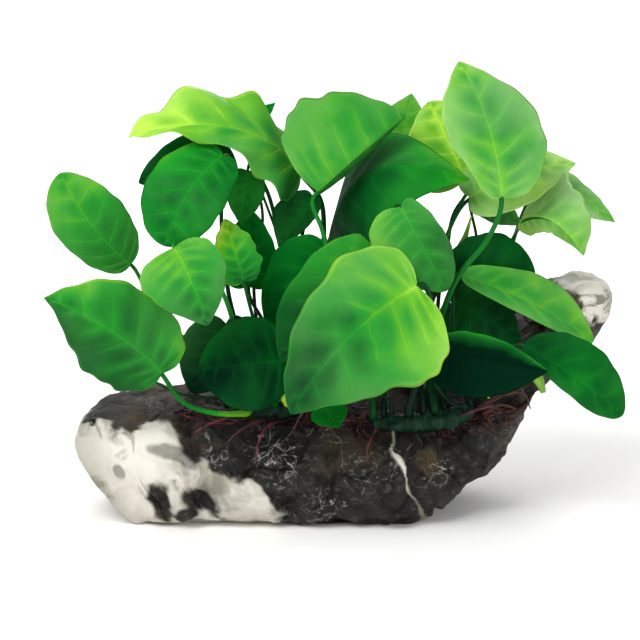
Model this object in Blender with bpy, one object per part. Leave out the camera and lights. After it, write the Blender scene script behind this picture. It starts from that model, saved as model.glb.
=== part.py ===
"""Anubias on stone: a water plant whose rhizomes are rooted on a dark, quartz-veined rock.

Every leaf (petiole and blade) is one closed solid, and so are the stone, the rhizomes, the
buds and the main roots.  Front is -Y, the long side of the stone runs along X, and the
stone's flat underside lies on z = 0.  Design values are in millimetres.
"""
import math
from dataclasses import dataclass

import bmesh
import bpy
import numpy as np

MM = 0.001
GAP = 0.3                   # clearance between neighbouring pieces

# ---------------------------------------------------------------- stone
# Stations along X: (x, lowest z, highest z, front y, back y, fall from the ridge to the lip)
STONE_STATIONS = (
    (-106, 33, 37, -27, -13, 0),
    (-104, 28, 42, -31, 0, 1),
    (-98, 19, 47, -35, 14, 3),
    (-89, 7, 49, -38, 24, 5),
    (-79, 0, 50, -40, 30, 7),
    (-60, 0, 51, -41, 36, 10),
    (-35, 0, 52, -42, 39, 15),
    (-10, 0, 53, -43, 41, 16),
    (15, 0, 54, -43, 42, 17),
    (38, 0, 56, -42, 42, 19),
    (48, 4, 58, -40, 42, 20),
    (60, 10, 61, -36, 42, 20),
    (72, 17, 68, -31, 42, 18),
    (82, 25, 80, -25, 42, 14),
    (88, 37, 86, -19, 42, 10),
    (94, 48, 91, -13, 41, 6),
    (104, 56, 96, -7, 40, 3),
    (114, 63, 99, -2, 39, 0),
    (123, 73, 99, 5, 37, 0),
    (129, 82, 96, 12, 33, 0),
    (131, 88, 92, 18, 27, 0),
)
STONE_ROWS = 26             # cross-sections along the stone
STONE_RING = 24             # points round a cross-section
STONE_CORNER = 0.5          # exponent of the rounded-box cross-section
STONE_RELIEF = 1.1          # height of the broken relief
FLAT_BELOW = 1.5            # everything lower than this is ground flat

# ---------------------------------------------------------------- leaves
BLADE_HALF_THICKNESS = 0.55
BLADE_ROWS = 8
PETIOLE_ROWS = 6
STRAIGHT_FOOT = 2.5         # length of petiole that stands square on the rhizome


EDGE_PLACES = (0.5, 1.05, 1.6, 2.15, 2.7)     # theta of the edge shares of a leaf


@dataclass
class Leaf:
    """One leaf: where it grows from, where its blade begins and ends, and how it is bent."""
    name: str
    rhizome: str            # the rhizome that carries it
    at: float               # how far along that rhizome, 0..1
    base: tuple             # where the petiole meets the blade
    tip: tuple
    face: tuple             # the way the upper side faces
    width: float            # full width of the spread blade
    via: tuple = ()         # points that the petiole passes, from the foot up
    arch: float = 0.0       # rise of the midrib towards the upper side
    bend: float = 0.0       # bow of the midrib towards its right side
    left: tuple = (0, 0, 0)     # degrees that the left half is lifted at base, middle and tip
    right: tuple = (0, 0, 0)    # the same for the right half
    twist: float = 0.0      # degrees of turn from base to tip
    curl: float = 0.0       # lift of both margins, as a share of the half width
    lobe: float = 0.1       # reach of the base lobes, as a share of the length
    belly: float = 0.25     # how far the widest place sits towards the base
    point: float = 0.7      # sharpness of the tip
    skew: float = 0.0       # extra width of the right half, as a share
    edge_left: tuple = ()   # share of the even width that each half has at the edge places
    edge_right: tuple = ()
    wave: float = 0.0       # height of the wavy margin
    waves: float = 2.0      # number of waves along the margin
    phase: float = 0.0
    ragged: float = 1.0     # unevenness of the margin
    stalk: float = 1.3      # radius of the petiole
    tone: str = "mid"       # pale, mid or dark green


# The rhizomes: axis points and radii
RHIZOMES = {
    "left": (((-40, -26, 51), (-26, -28, 50.5), (-8, -24, 50.5)), (3.4, 4.4, 3.4)),
    "right": (((22, -33, 46), (38, -35, 46.5), (54, -34, 48), (66, -32, 52)),
              (3.2, 4.0, 4.2, 3.4)),
    "back": (((-36, 4, 58.5), (-10, 8, 60), (18, 6, 61.5), (44, 4, 64), (60, 0, 67)),
             (3.2, 4.2, 4.4, 4.2, 3.2)),
}

LEAVES = (
    # --- the front of the plant, carried by the right and left rhizomes
    Leaf("leaf_front", "right", 0.36, (40, -50, 109), (-12, -64, 58), (-0.05, -1, 0.25), 60,
         via=((38, -38, 55), (42, -40, 69), (47, -42, 95)), arch=5, bend=5, lobe=0.09,
         point=0.75, skew=0.06, wave=1.0, waves=3, stalk=1.7, tone="pale",
         edge_left=(1.38, 1.32, 1.12, 1.16, 1.35), edge_right=(0.92, 0.86, 0.78, 0.82, 1.15),
         ragged=1.3),
    Leaf("leaf_front_behind", "right", 0.12, (24, -37, 116), (-16, -47, 76), (-0.3, -1, 0.1), 54,
         via=((29, -28, 80),), arch=4, lobe=0.1, bend=3,
         edge_right=(0.85, 0.74, 0.7, 0.85, 1.1)),
    Leaf("leaf_centre_left", "back", 0.4, (8, -20.6, 115), (-22, -24, 84), (-0.1, -1, 0.3), 40,
         via=((3, -9, 90),), arch=3, lobe=0.0, bend=4, tone="dark",
         edge_right=(1, 0.95, 0.85, 0.8, 0.9)),
    Leaf("leaf_low_left_round", "left", 0.62, (-15, -44, 76), (-51, -40, 71), (0.1, -1, 0.3), 40,
         via=((-21, -35, 58), (-16, -40, 68)), arch=4, lobe=0.1, belly=0.1, point=0.3,
         tone="dark"),
    Leaf("leaf_low_left_shaded", "left", 0.92, (-40, -24, 87), (-55, -28, 58), (-0.2, -1, 0.1),
         29, via=((-21, -20, 74),), belly=0.1, point=0.4, tone="dark"),
    Leaf("leaf_low_centre_young", "right", 0.2, (2, -40, 55), (8, -52, 49), (0, -0.8, 0.6), 16,
         via=((30, -37, 56), (25, -37, 60), (12, -39, 61)), stalk=0.9, tone="dark"),
    # --- the left side
    Leaf("leaf_far_left", "left", 0.02, (-81, -22, 113), (-109, -28, 153), (0.1, -1, 0.25), 34,
         via=((-48, -22, 66), (-62, -19, 84), (-76, -19, 104)), arch=3, bend=-3, lobe=0.03,
         belly=0.0, point=0.4, edge_left=(0.8, 0.78, 0.85, 1.0, 1.15),
         edge_right=(0.95, 0.93, 0.93, 0.97, 1.1)),
    Leaf("leaf_far_left_low", "left", 0.3, (-66, -50, 72), (-113, -60, 106), (0.15, -1, 0.45),
         47, via=((-34, -37, 51), (-44, -40, 52), (-57, -43, 57)), arch=3, bend=3,
         left=(-40, -40, -40), right=(6, 6, 6), lobe=0.1, belly=0.2, point=0.9, skew=0.04,
         wave=1.6, waves=3, stalk=1.5, tone="pale", edge_right=(0.85, 0.88, 0.95, 1.05, 1.5),
         ragged=1.6),
    Leaf("leaf_far_left_shaded", "left", 0.0, (-80, -40, 70), (-98, -44, 77), (0, -1, 0.2), 14,
         via=((-58, -32, 58),), stalk=0.9, tone="dark"),
    Leaf("leaf_left_pale", "left", 0.46, (-60, -50, 125), (-46, -62, 95), (-0.05, -1, 0.35), 35,
         via=((-35, -33, 80), (-38, -35, 95), (-43, -38, 108)), arch=3, bend=-1, lobe=0.06,
         point=0.6, skew=0.08, tone="pale", edge_right=(1.2, 1.08, 1, 1, 1)),
    Leaf("leaf_left_small", "left", 0.76, (-32, -38, 109), (-40, -31, 134), (0.1, -1, 0.3), 19,
         via=((-25, -31, 80), (-30, -32, 98)), arch=2, point=0.5, wave=0.8, waves=3, stalk=1.1,
         tone="pale", ragged=3.0),
    Leaf("leaf_left_upper", "back", 0.02, (-41, -22, 160), (-65, -40, 124), (-0.2, -1, 0.55), 38,
         via=((-40, -10, 100), (-42, -16, 140)), arch=5, bend=2, lobe=0.08, belly=0.0, point=0.3,
         skew=0.12, edge_left=(1, 1, 1.05, 1.2, 1.4), edge_right=(0.9, 0.85, 0.9, 0.95, 1.1)),
    Leaf("leaf_left_teal", "back", 0.1, (-31, -8, 151), (-34, -11, 128), (0.1, -1, 0.2), 17,
         via=((-29, 2, 105), (-25, -1, 132)), stalk=1.0, tone="dark"),
    Leaf("leaf_left_round", "back", 0.16, (-31, -9, 101), (-30, -8, 134), (0, -1, 0.1), 24,
         via=((-25, -3, 84),), point=0.3, stalk=1.2, tone="dark"),
    Leaf("leaf_left_rear", "back", 0.22, (-42, 4, 163), (-78, -8, 146), (-0.2, -1, 0.4), 44,
         via=((-19, 6, 125), (-24, 8, 142)), arch=4, lobe=0.06, tone="dark",
         edge_right=(0.5, 0.42, 0.42, 0.5, 0.7)),
    # --- the top
    Leaf("leaf_top_left", "back", 0.45, (-8, 4, 151), (-81, -20, 167), (0.1, -0.6, 0.8), 56,
         via=((2, 15, 110), (0, 15, 136)), arch=16, lobe=0.08, right=(5, 5, 5),
         left=(-35, -20, 0), wave=3.0, waves=4.5, point=0.8, stalk=1.6, tone="pale",
         edge_left=(1.1, 0.7, 0.45, 0.38, 0.38), edge_right=(0.5, 0.6, 0.76, 1.05, 1.8),
         ragged=3.0),
    Leaf("leaf_top_left_young", "back", 0.28, (-31, 24, 168), (-20, 30, 176.5), (0, -0.5, 0.8),
         9, via=((-16, 16, 110), (-28, 20, 145)), stalk=0.9, tone="dark"),
    Leaf("leaf_top_centre", "right", 0.02, (-1, -20, 144), (37, 0, 174), (-0.1, -1, 0.2), 54,
         via=((12, -28, 90), (6, -29, 110), (1, -23, 128)), arch=4, right=(-80, -80, -80),
         lobe=0.06, point=0.6, skew=-0.4, stalk=1.5, edge_left=(0.92, 0.9, 0.88, 1.0, 1.3),
         edge_right=(0.6, 0.6, 0.6, 0.7, 0.8), ragged=1.5),
    Leaf("leaf_top_centre_rear", "back", 0.5, (34, 26.5, 151), (41, 35, 180), (0, -1, 0.3), 28,
         via=((13, 19, 100), (20, 24, 134)), tone="dark"),
    Leaf("leaf_centre_arched", "back", 0.58, (3.5, 10.5, 117), (64, -14, 148),
         (-0.1, -0.35, 0.9), 72, via=((20, 12, 90),), arch=22, lobe=0.03, belly=0.35,
         right=(-30, -30, -30), stalk=1.6, tone="dark"),
    Leaf("leaf_centre_folded", "back", 0.34, (-3, -2, 139), (-18, -8, 118), (-0.3, -1, 0.1), 24,
         via=((-9, 6, 105), (-7, 4, 125)), stalk=1.2, tone="dark", left=(-30, -30, -30),
         edge_left=(0.6, 0.55, 0.5, 0.5, 0.6), edge_right=(0.7, 0.8, 1.0, 1.1, 1.05)),
    Leaf("leaf_centre_heart", "right", 0.5, (34, -32, 139), (53, -40, 105), (0, -1, 0.25), 40,
         via=((38, -26, 85), (33, -28, 112), (30, -29, 130)), arch=3, lobe=0.12, belly=0.15,
         point=0.4, edge_left=(0.5, 0.5, 0.56, 0.68, 0.85)),
    # --- the right side
    Leaf("leaf_top_right", "right", 0.62, (76, -34, 144), (59, -10, 198), (0.05, -1, 0.3), 44,
         via=((47, -30, 62), (51, -27, 88), (58, -32, 109), (71, -34, 127)), arch=4, bend=3,
         lobe=0.05, belly=0.1, point=0.6, stalk=1.7, tone="pale",
         edge_left=(0.55, 0.62, 0.85, 1.0, 1.05), edge_right=(1, 1, 0.98, 0.8, 0.65)),
    Leaf("leaf_top_right_rear", "back", 0.76, (64, 10, 145), (48, 20, 178), (0, -1, 0.3), 44,
         via=((54, 8, 100), (59, 10, 130)), point=0.3, tone="pale"),
    Leaf("leaf_right_rear", "back", 0.84, (65, -2, 139), (112, 10, 152), (0, -0.75, 0.65), 32,
         via=((50, 0, 100), (55, -4, 122)), arch=6, tone="pale"),
    Leaf("leaf_right_shaded", "back", 0.9, (70, 12, 136), (89, 8, 125), (0, -0.8, 0.5), 14,
         via=((69, 8, 118),), stalk=1.0, tone="dark"),
    Leaf("leaf_right_drooping", "back", 0.95, (87, -10, 131), (112, -24, 117), (0.1, -0.8, 0.6),
         50, via=((76, 8, 98), (85, 5, 120)), arch=12, right=(-75, -75, -75), lobe=0.2, wave=1.5,
         skew=-0.5, tone="pale", edge_left=(0.88, 0.77, 0.52, 0.66, 1.4),
         edge_right=(0.7, 0.7, 0.7, 0.7, 0.7)),
    Leaf("leaf_right_outer", "back", 1.0, (104, 16, 147), (130, 10, 126), (0.1, -0.8, 0.5), 20,
         via=((80, 16, 100), (95, 20, 138)), edge_left=(0.6, 0.5, 0.5, 0.6, 0.75), ragged=1.5),
    Leaf("leaf_right_dark", "back", 0.7, (57, -6, 103), (94, -2, 106), (0, -1, 0.3), 42,
         via=((50, -6, 85),), arch=3, point=0.3, belly=0.0, tone="dark",
         edge_left=(0.9, 0.88, 0.9, 0.95, 1)),
    Leaf("leaf_over_horn", "right", 0.74, (61, -21, 108), (119, -12, 77), (0.15, -0.6, 0.75), 26,
         via=((57, -25, 72), (57, -23, 96)), arch=4, lobe=0.03, belly=0.0, point=0.3,
         edge_left=(1, 1.05, 1.3, 1.5, 1.4), edge_right=(0.75, 0.7, 0.7, 0.75, 0.9)),
    Leaf("leaf_right_inner", "back", 0.97, (58, -12, 95), (87, -17, 78), (0, -1, 0.4), 30,
         via=((60, -8, 80),), arch=3, tone="dark"),
    Leaf("leaf_low_right_rolled", "right", 0.9, (53, -39, 78), (96, -42, 71), (0, -0.85, 0.5),
         34, via=((60, -38, 55), (52, -37, 60), (48, -38, 70)), left=(50, 50, 50),
         right=(-10, -10, -10), skew=0.25, lobe=0.2, tone="dark",
         edge_right=(0.85, 0.8, 0.8, 0.85, 0.9)),
    Leaf("leaf_low_right", "right", 0.98, (87, -29, 79), (128, -43, 52), (0.2, -1, 0.6), 34,
         via=((74, -27, 68),), arch=4, lobe=0.02, belly=0.0, point=0.3, tone="dark",
         edge_right=(0.45, 0.45, 0.5, 0.65, 0.8)),
)


# Main roots: name, axis points and radius.  The finer ones branch off these.
ROOTS = (
    ("root_left_crown", ((-37, -22, 55), (-42, -20, 58), (-50, -21, 57), (-60, -26, 54)), 1.0),
    ("root_left_cross", ((-37, -30.5, 48), (-42, -36, 48), (-48, -41, 47), (-54, -44, 44)), 0.9),
    ("root_left_front", ((-24, -34, 47.5), (-30, -41, 47), (-36, -45, 44), (-40, -46.5, 40)), 0.9),
    ("root_left_hanging", ((-18, -32, 46.5), (-23, -42, 46), (-26, -46.5, 41), (-27, -46.5, 33)),
     1.0),
    ("root_middle_front", ((-7, -29, 50), (-9, -38, 49), (-12, -45, 45), (-17, -47, 40)), 0.8),
    ("root_middle_hanging", ((24, -38, 45), (22, -45, 43), (20, -48, 39), (20, -48, 33)), 0.8),
    ("root_right_pink", ((60, -39, 51), (67, -41, 54), (73, -41, 55), (77, -40, 52)), 0.9),
    ("root_right_orange", ((70, -33, 54), (79, -31.5, 58), (87, -28, 58), (91, -24, 50)), 1.0),
    ("root_right_fork", ((70, -33, 50), (76, -34, 54), (82, -33, 53), (86, -31, 46)), 0.8),
)

# Buds and shoots: name, axis points and radius at each
SHOOTS = (
    ("bud_left_yellow", ((-14, -29.5, 53), (-15, -32, 57), (-15, -33, 62)), (1.4, 2.0, 0.4)),
    ("bud_right_green", ((71, -36, 58), (81, -34, 70), (88, -33, 72), (92, -32, 67),
                         (94.5, -31.5, 62), (95.5, -31.5, 59)), (0.9, 1.2, 1.2, 1.2, 2.5, 1.2)),
    ("shoot_right_pointed", ((47, 10, 68), (50, 14, 90), (60, 10, 110), (64, 5, 121),
                             (66, 2, 130)), (1.0, 1.2, 1.4, 1.9, 0.3)),
    ("shoot_centre_purple", ((14, 1, 66), (14, -15, 90), (17, -25, 112), (17, -28, 121),
                             (17, -30, 127)), (1.0, 1.2, 1.6, 2.8, 1.4)),
)


def unit(v):
    v = np.asarray(v, float)
    return v / np.linalg.norm(v, axis=-1, keepdims=True)


def spline(points, count):
    """A smooth curve through points: Hermite arcs with chord-length parameters."""
    p = np.asarray(points, float)
    chord = np.linalg.norm(np.diff(p, axis=0), axis=1)
    knots = np.concatenate([[0.0], np.cumsum(chord)])
    slope = np.gradient(p, knots, axis=0) if len(p) > 2 else np.repeat(
        (p[1:] - p[:1]) / chord[0], 2, axis=0)
    t = np.linspace(0.0, knots[-1], count)
    i = np.clip(np.searchsorted(knots, t, side="right") - 1, 0, len(p) - 2)
    h = (knots[i + 1] - knots[i])[:, None]
    s = (t - knots[i])[:, None] / h
    return ((1 + 2 * s) * (1 - s) ** 2 * p[i] + s * (1 - s) ** 2 * h * slope[i]
            + s * s * (3 - 2 * s) * p[i + 1] + s * s * (s - 1) * h * slope[i + 1])


def midrib(leaf, a):
    """Point, tangent, right side and upper normal of the midrib at a (0 base, 1 tip).

    The midrib is a quadratic arc from base to tip whose middle is pushed arch along the upper
    normal and bend to the right; behind the base it runs on straight.
    """
    base, tip = np.array(leaf.base, float), np.array(leaf.tip, float)
    along = unit(tip - base)
    face = np.array(leaf.face, float)
    up = unit(face - along * face.dot(along))
    side = np.cross(along, up)
    knee = (base + tip) / 2 + 2 * leaf.arch * up + 2 * leaf.bend * side
    a = np.asarray(a, float)[..., None]
    c = np.clip(a, 0.0, 1.0)
    point = (1 - c) ** 2 * base + 2 * c * (1 - c) * knee + c * c * tip
    tangent = 2 * (1 - c) * (knee - base) + 2 * c * (tip - knee)
    point = point + np.minimum(a, 0.0) * tangent
    tangent = unit(tangent)
    turn = np.radians(leaf.twist) * (c - 0.5)
    normal = unit(up - tangent * (tangent @ up)[..., None])
    right = np.cross(tangent, normal)
    normal, right = (normal * np.cos(turn) + right * np.sin(turn),
                     right * np.cos(turn) - normal * np.sin(turn))
    return point, tangent, right, normal


def fullness(edge, theta, ragged, phase):
    """Share of the even width that the margin has at theta: a smooth curve through edge, with
    low uneven waves, 0.014 ragged (sin(9 theta + phase) + 0.8 sin(16 theta + 2 phase))."""
    waves = np.sin(9 * theta + phase) + 0.8 * np.sin(16 * theta + 2 * phase)
    uneven = 1 + 0.014 * ragged * waves
    if not edge:
        return uneven
    curve = spline(list(zip(EDGE_PLACES, edge)), 61)
    return np.interp(theta, curve[:, 0], curve[:, 1]) * uneven


def blade(leaf, theta, s):
    """Middle surface of the blade and its normal.

    theta runs 0..pi along the margin from the notch to the tip, and s runs -1..1 across from
    the left margin over the midrib to the right.  With u = (1 - cos theta) / 2, the margin is
    at a = -lobe + (1 + lobe) u + lobe (1 - theta / 0.7)^2 and w = sin theta (1 + belly cos
    theta) (1 - point u^5), and the side veins leave the midrib at a = u^1.5.
    """
    theta, s = np.broadcast_arrays(np.asarray(theta, float), np.asarray(s, float))
    length = np.linalg.norm(np.subtract(leaf.tip, leaf.base))
    u = (1 - np.cos(theta)) / 2
    margin = (-leaf.lobe + (1 + leaf.lobe) * u
              + leaf.lobe * np.clip(1 - theta / 0.7, 0, 1) ** 2)
    t = np.linspace(0, math.pi, 181)

    def width(x):
        taper = 1 - leaf.point * ((1 - np.cos(x)) / 2) ** 5
        return np.sin(x) * (1 + leaf.belly * np.cos(x)) * taper

    half = leaf.width / 2 * width(theta) / width(t).max()
    half = half * np.where(s > 0, 1 + leaf.skew, 1 - leaf.skew)
    start = leaf.phase + leaf.base[2] * 7
    half = half * np.where(s > 0, fullness(leaf.edge_right, theta, leaf.ragged, start + 1),
                           fullness(leaf.edge_left, theta, leaf.ragged, start - 1))
    rib = u ** 1.5
    side = np.abs(s)
    a = rib + (margin - rib) * side ** 1.2
    b = half * side
    point, _, right, normal = midrib(leaf, a)
    thirds = (0, 0.5, 1)
    lift = np.radians(np.where(s > 0, np.interp(u, thirds, leaf.right),
                               np.interp(u, thirds, leaf.left)))
    rise = b * np.sin(lift) + leaf.curl * half * side ** 3
    rise = rise + leaf.wave * side ** 2 * np.sin(theta) * np.sin(
        leaf.waves * 2 * theta + leaf.phase + np.where(s > 0, 1.9, 0.0))
    across = np.sign(s) * b * np.cos(lift)
    point = point + right * across[..., None] + normal * rise[..., None]
    tilt = lift * np.sign(s)
    up = unit(normal * np.cos(tilt)[..., None] - right * np.sin(tilt)[..., None])
    return point, up, length


def petiole_path(leaf, count):
    """Centre line of the petiole, which meets the blade along the midrib."""
    _, tangent, _, normal = midrib(leaf, np.array([0.0]))
    neck = np.array(leaf.base) - tangent[0] * 3.0 - normal[0] * 1.0
    rises = list(leaf.via) + [neck, leaf.base]
    axis, radii = RHIZOMES[leaf.rhizome]
    line = spline(axis, 101)
    place = line[round(leaf.at * 100)]
    along = unit(np.gradient(line, axis=0))[round(leaf.at * 100)]
    radius = np.interp(leaf.at, np.linspace(0, 1, len(radii)), radii)
    lean = np.array(rises[0]) - place
    lean = unit(lean - along * along.dot(lean))
    foot = place + lean * (radius + 3 * GAP)
    return spline([foot, foot + lean * STRAIGHT_FOOT] + rises, count)


def carried_frames(path, last_right, last_normal):
    """Frames along path that end in the given one, carried back without turning."""
    tangents = unit(np.gradient(path, axis=0))
    right, normal = np.array(last_right), np.array(last_normal)
    rights, normals = [], []
    for tangent in tangents[::-1]:
        right = unit(right - tangent * tangent.dot(right))
        normal = np.cross(right, tangent)
        rights.append(right)
        normals.append(normal)
    return np.array(rights[::-1]), np.array(normals[::-1])


def leaf_rings(leaf):
    """Rings of eight points from the foot of the petiole to the tip of the blade."""
    path = petiole_path(leaf, PETIOLE_ROWS)
    _, _, right0, normal0 = midrib(leaf, np.array([0.0]))
    rights, normals = carried_frames(path, right0[0], normal0[0])
    angles = np.radians([180, 135, 90, 45, 0, -45, -90, -135])
    radius = np.linspace(leaf.stalk, leaf.stalk * 0.8, PETIOLE_ROWS)[:, None, None]
    rings = [path[:, None] + radius * (rights[:, None] * np.cos(angles)[:, None]
                                       + normals[:, None] * np.sin(angles)[:, None])]
    theta = np.linspace(0.22, math.pi * 0.985, BLADE_ROWS)[:, None]
    across = np.array([-1, -0.5, 0, 0.5, 1, 0.5, 0, -0.5])[None, :]
    lift = np.array([0, 0.8, 1, 0.8, 0, -0.8, -1, -0.8])[None, :, None]
    point, up, _ = blade(leaf, theta, across)
    taper = 1 - 0.6 * (theta / math.pi) ** 3
    rings.append(point + up * lift * taper[..., None] * BLADE_HALF_THICKNESS)
    return np.concatenate(rings)


def stone_rings():
    """Cross-sections of the stone: a rounded box between the stations' limits, broken up by
    three sums of sines, ground flat below FLAT_BELOW."""
    stations = np.array(STONE_STATIONS, float)
    k = np.linspace(0, len(stations) - 1, STONE_ROWS)
    x, low, high, front, back, fall = (np.interp(k, range(len(stations)), c)
                                       for c in stations.T)
    v = (np.arange(STONE_RING) + 0.5) / STONE_RING * 2 * math.pi
    c, s = np.cos(v)[None, :], np.sin(v)[None, :]
    depth = -np.sign(c) * np.abs(c) ** STONE_CORNER
    height = np.sign(s) * np.abs(s) ** STONE_CORNER
    y = ((front + back) / 2)[:, None] + ((back - front) / 2)[:, None] * depth
    z = ((low + high) / 2)[:, None] + ((high - low) / 2)[:, None] * height
    span = np.clip((high - low)[:, None] / 50, 0, 1)
    z = z - fall[:, None] * np.clip(height, 0, 1) * np.clip(-depth, 0, 1) ** 1.5
    xx = np.repeat(x[:, None], STONE_RING, axis=1)
    relief = (np.sin(xx * 0.21 + z * 0.12 + 1.0) + np.sin(xx * 0.37 - y * 0.18 + 2.0)
              + np.abs(np.sin(xx * 0.11 + y * 0.09 + z * 0.17)) * 1.6 - 1.0)
    grow = 1 + STONE_RELIEF * span * relief / 45
    y = ((front + back) / 2)[:, None] + (y - ((front + back) / 2)[:, None]) * grow
    zm = ((low + high) / 2)[:, None]
    z = np.where(z > zm, zm + (z - zm) * grow, z)
    z = np.where(z < FLAT_BELOW, 0.0, z)
    return np.stack([xx, y, z], axis=-1)


def material(name, colour, roughness):
    """A plain Principled material."""
    mat = bpy.data.materials.new(name)
    mat.use_nodes = True
    shader = mat.node_tree.nodes["Principled BSDF"]
    shader.inputs["Base Color"].default_value = (*colour, 1.0)
    shader.inputs["Roughness"].default_value = roughness
    shader.inputs["Metallic"].default_value = 0.0
    mat.diffuse_color = (*colour, 1.0)
    return mat


def add_object(name, data, mat, collection):
    obj = bpy.data.objects.new(name, data)
    data.materials.append(mat)
    collection.objects.link(obj)
    return obj


def loft(name, rings, mat, collection):
    """A closed solid through rings of points, with a flat face across each end."""
    count, around = rings.shape[:2]
    faces = [tuple(range(around)),
             tuple((count - 1) * around + j for j in reversed(range(around)))]
    for i in range(count - 1):
        for j in range(around):
            a, b = i * around + j, i * around + (j + 1) % around
            faces.append((a, a + around, b + around, b))
    mesh = bpy.data.meshes.new(name)
    mesh.from_pydata((rings.reshape(-1, 3) * MM).tolist(), [], faces)
    edit = bmesh.new()
    edit.from_mesh(mesh)
    bmesh.ops.triangulate(edit, faces=edit.faces)
    if edit.calc_volume(signed=True) < 0:
        bmesh.ops.reverse_faces(edit, faces=edit.faces)
    edit.to_mesh(mesh)
    edit.free()
    return add_object(name, mesh, mat, collection)


def tube(name, points, radii, mat, collection, rows, sides):
    """A round, closed stem: a poly curve with a radius at each point and filled ends."""
    path = spline(points, rows)
    radius = np.interp(np.linspace(0, 1, rows), np.linspace(0, 1, len(radii)), radii)
    curve = bpy.data.curves.new(name, "CURVE")
    curve.dimensions = "3D"
    curve.bevel_depth = MM
    curve.bevel_resolution = sides
    curve.use_fill_caps = True
    line = curve.splines.new("POLY")
    line.points.add(rows - 1)
    for point, place, size in zip(line.points, path, radius):
        point.co = (*(place * MM), 1.0)
        point.radius = size
    return add_object(name, curve, mat, collection)


def main():
    for obj in list(bpy.data.objects):
        bpy.data.objects.remove(obj)
    collection = bpy.data.collections.new("anubias_on_stone")
    bpy.context.scene.collection.children.link(collection)

    stone = material("stone", (0.055, 0.052, 0.05), 0.85)
    rhizome = material("rhizome", (0.03, 0.09, 0.035), 0.5)
    root = material("root", (0.22, 0.06, 0.05), 0.6)
    bud = material("bud", (0.30, 0.50, 0.05), 0.45)
    tones = {
        "pale": material("leaf_pale", (0.24, 0.52, 0.05), 0.42),
        "mid": material("leaf_mid", (0.05, 0.36, 0.06), 0.4),
        "dark": material("leaf_dark", (0.01, 0.12, 0.045), 0.38),
    }

    loft("stone", stone_rings(), stone, collection)
    for name, (axis, radii) in RHIZOMES.items():
        tube("rhizome_" + name, axis, radii, rhizome, collection, rows=9, sides=2)
    for leaf in LEAVES:
        loft(leaf.name, leaf_rings(leaf), tones[leaf.tone], collection)
    for name, points, radius in ROOTS:
        tube(name, points, (radius, radius * 0.5), root, collection, rows=6, sides=0)
    for name, points, radii in SHOOTS:
        tube(name, points, radii, bud, collection, rows=9, sides=1)


if __name__ == "__main__":
    main()
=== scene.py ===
"""Anubias on stone: the looks.

A water plant with broad leaves grows from three rhizomes on a dark, boat-shaped rock with
white quartz bands.  The script is laid out as a Blender add-on: one operator for each kind of
piece and one for the stage, called in order by main().  Lengths in the design tables are
millimetres; meshes are in metres.  Front is -Y, +X runs along the stone to its horn.
"""

import math
from dataclasses import dataclass

import bpy
import numpy as np
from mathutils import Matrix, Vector


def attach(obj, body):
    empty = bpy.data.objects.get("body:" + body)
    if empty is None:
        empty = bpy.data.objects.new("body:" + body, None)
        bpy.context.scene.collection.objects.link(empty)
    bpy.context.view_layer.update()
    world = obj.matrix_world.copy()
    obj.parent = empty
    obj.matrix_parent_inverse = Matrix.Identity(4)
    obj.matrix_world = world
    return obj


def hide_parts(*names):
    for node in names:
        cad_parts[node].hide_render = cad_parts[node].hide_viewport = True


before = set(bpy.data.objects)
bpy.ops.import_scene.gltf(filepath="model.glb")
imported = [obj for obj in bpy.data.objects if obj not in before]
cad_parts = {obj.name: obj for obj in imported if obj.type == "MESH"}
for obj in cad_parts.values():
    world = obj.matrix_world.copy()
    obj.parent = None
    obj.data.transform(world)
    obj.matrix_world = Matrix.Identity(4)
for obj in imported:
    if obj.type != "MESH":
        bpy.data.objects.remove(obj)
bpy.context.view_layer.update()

bl_info = {
    "name": "Anubias on Stone",
    "version": (1, 0, 0),
    "blender": (4, 5, 0),
    "location": "View3D > Sidebar > Anubias",
    "description": "Builds an anubias growing on a quartz-veined stone",
    "category": "Add Mesh",
}

MM = 0.001
TAU = 2 * math.pi
AIM = (0.0, 0.0, 0.084)     # what the camera and the lights look at
CAMERA_ELEVATION = 12.0
CAMERA_DISTANCE = 0.9
LENS = 115.0
FLOOR_REACH = 6.0
LAMPS = (                   # name, place, size, and power as a share of the key light's
    ("key", (-0.55, -0.75, 1.05), 0.7, 1.0),
    ("fill", (0.95, -0.85, 0.55), 0.9, 0.35),
    ("rim", (0.2, 0.95, 0.95), 0.8, 0.5),
)
RIDGE_STEP = 3.4            # distance between leaf scars on a rhizome
made = {}                   # the stone's surface, which the stone's step leaves for the roots'


# ---------------------------------------------------------------- design values
# Stations along X: (x, lowest z, highest z, front y, back y, fall from the ridge to the lip)
STONE_STATIONS = (
    (-106, 33, 37, -27, -13, 0),
    (-104, 28, 42, -31, 0, 1),
    (-98, 19, 47, -35, 14, 3),
    (-89, 7, 49, -38, 24, 5),
    (-79, 0, 50, -40, 30, 7),
    (-60, 0, 51, -41, 36, 10),
    (-35, 0, 52, -42, 39, 15),
    (-10, 0, 53, -43, 41, 16),
    (15, 0, 54, -43, 42, 17),
    (38, 0, 56, -42, 42, 19),
    (48, 4, 58, -40, 42, 20),
    (60, 10, 61, -36, 42, 20),
    (72, 17, 68, -31, 42, 18),
    (82, 25, 80, -25, 42, 14),
    (88, 37, 86, -19, 42, 10),
    (94, 48, 91, -13, 41, 6),
    (104, 56, 96, -7, 40, 3),
    (114, 63, 99, -2, 39, 0),
    (123, 73, 99, 5, 37, 0),
    (129, 82, 96, 12, 33, 0),
    (131, 88, 92, 18, 27, 0),
)
STONE_CORNER = 0.5          # exponent of the rounded-box cross-section
FLAT_BELOW = 1.5            # everything lower than this is ground flat

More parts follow.
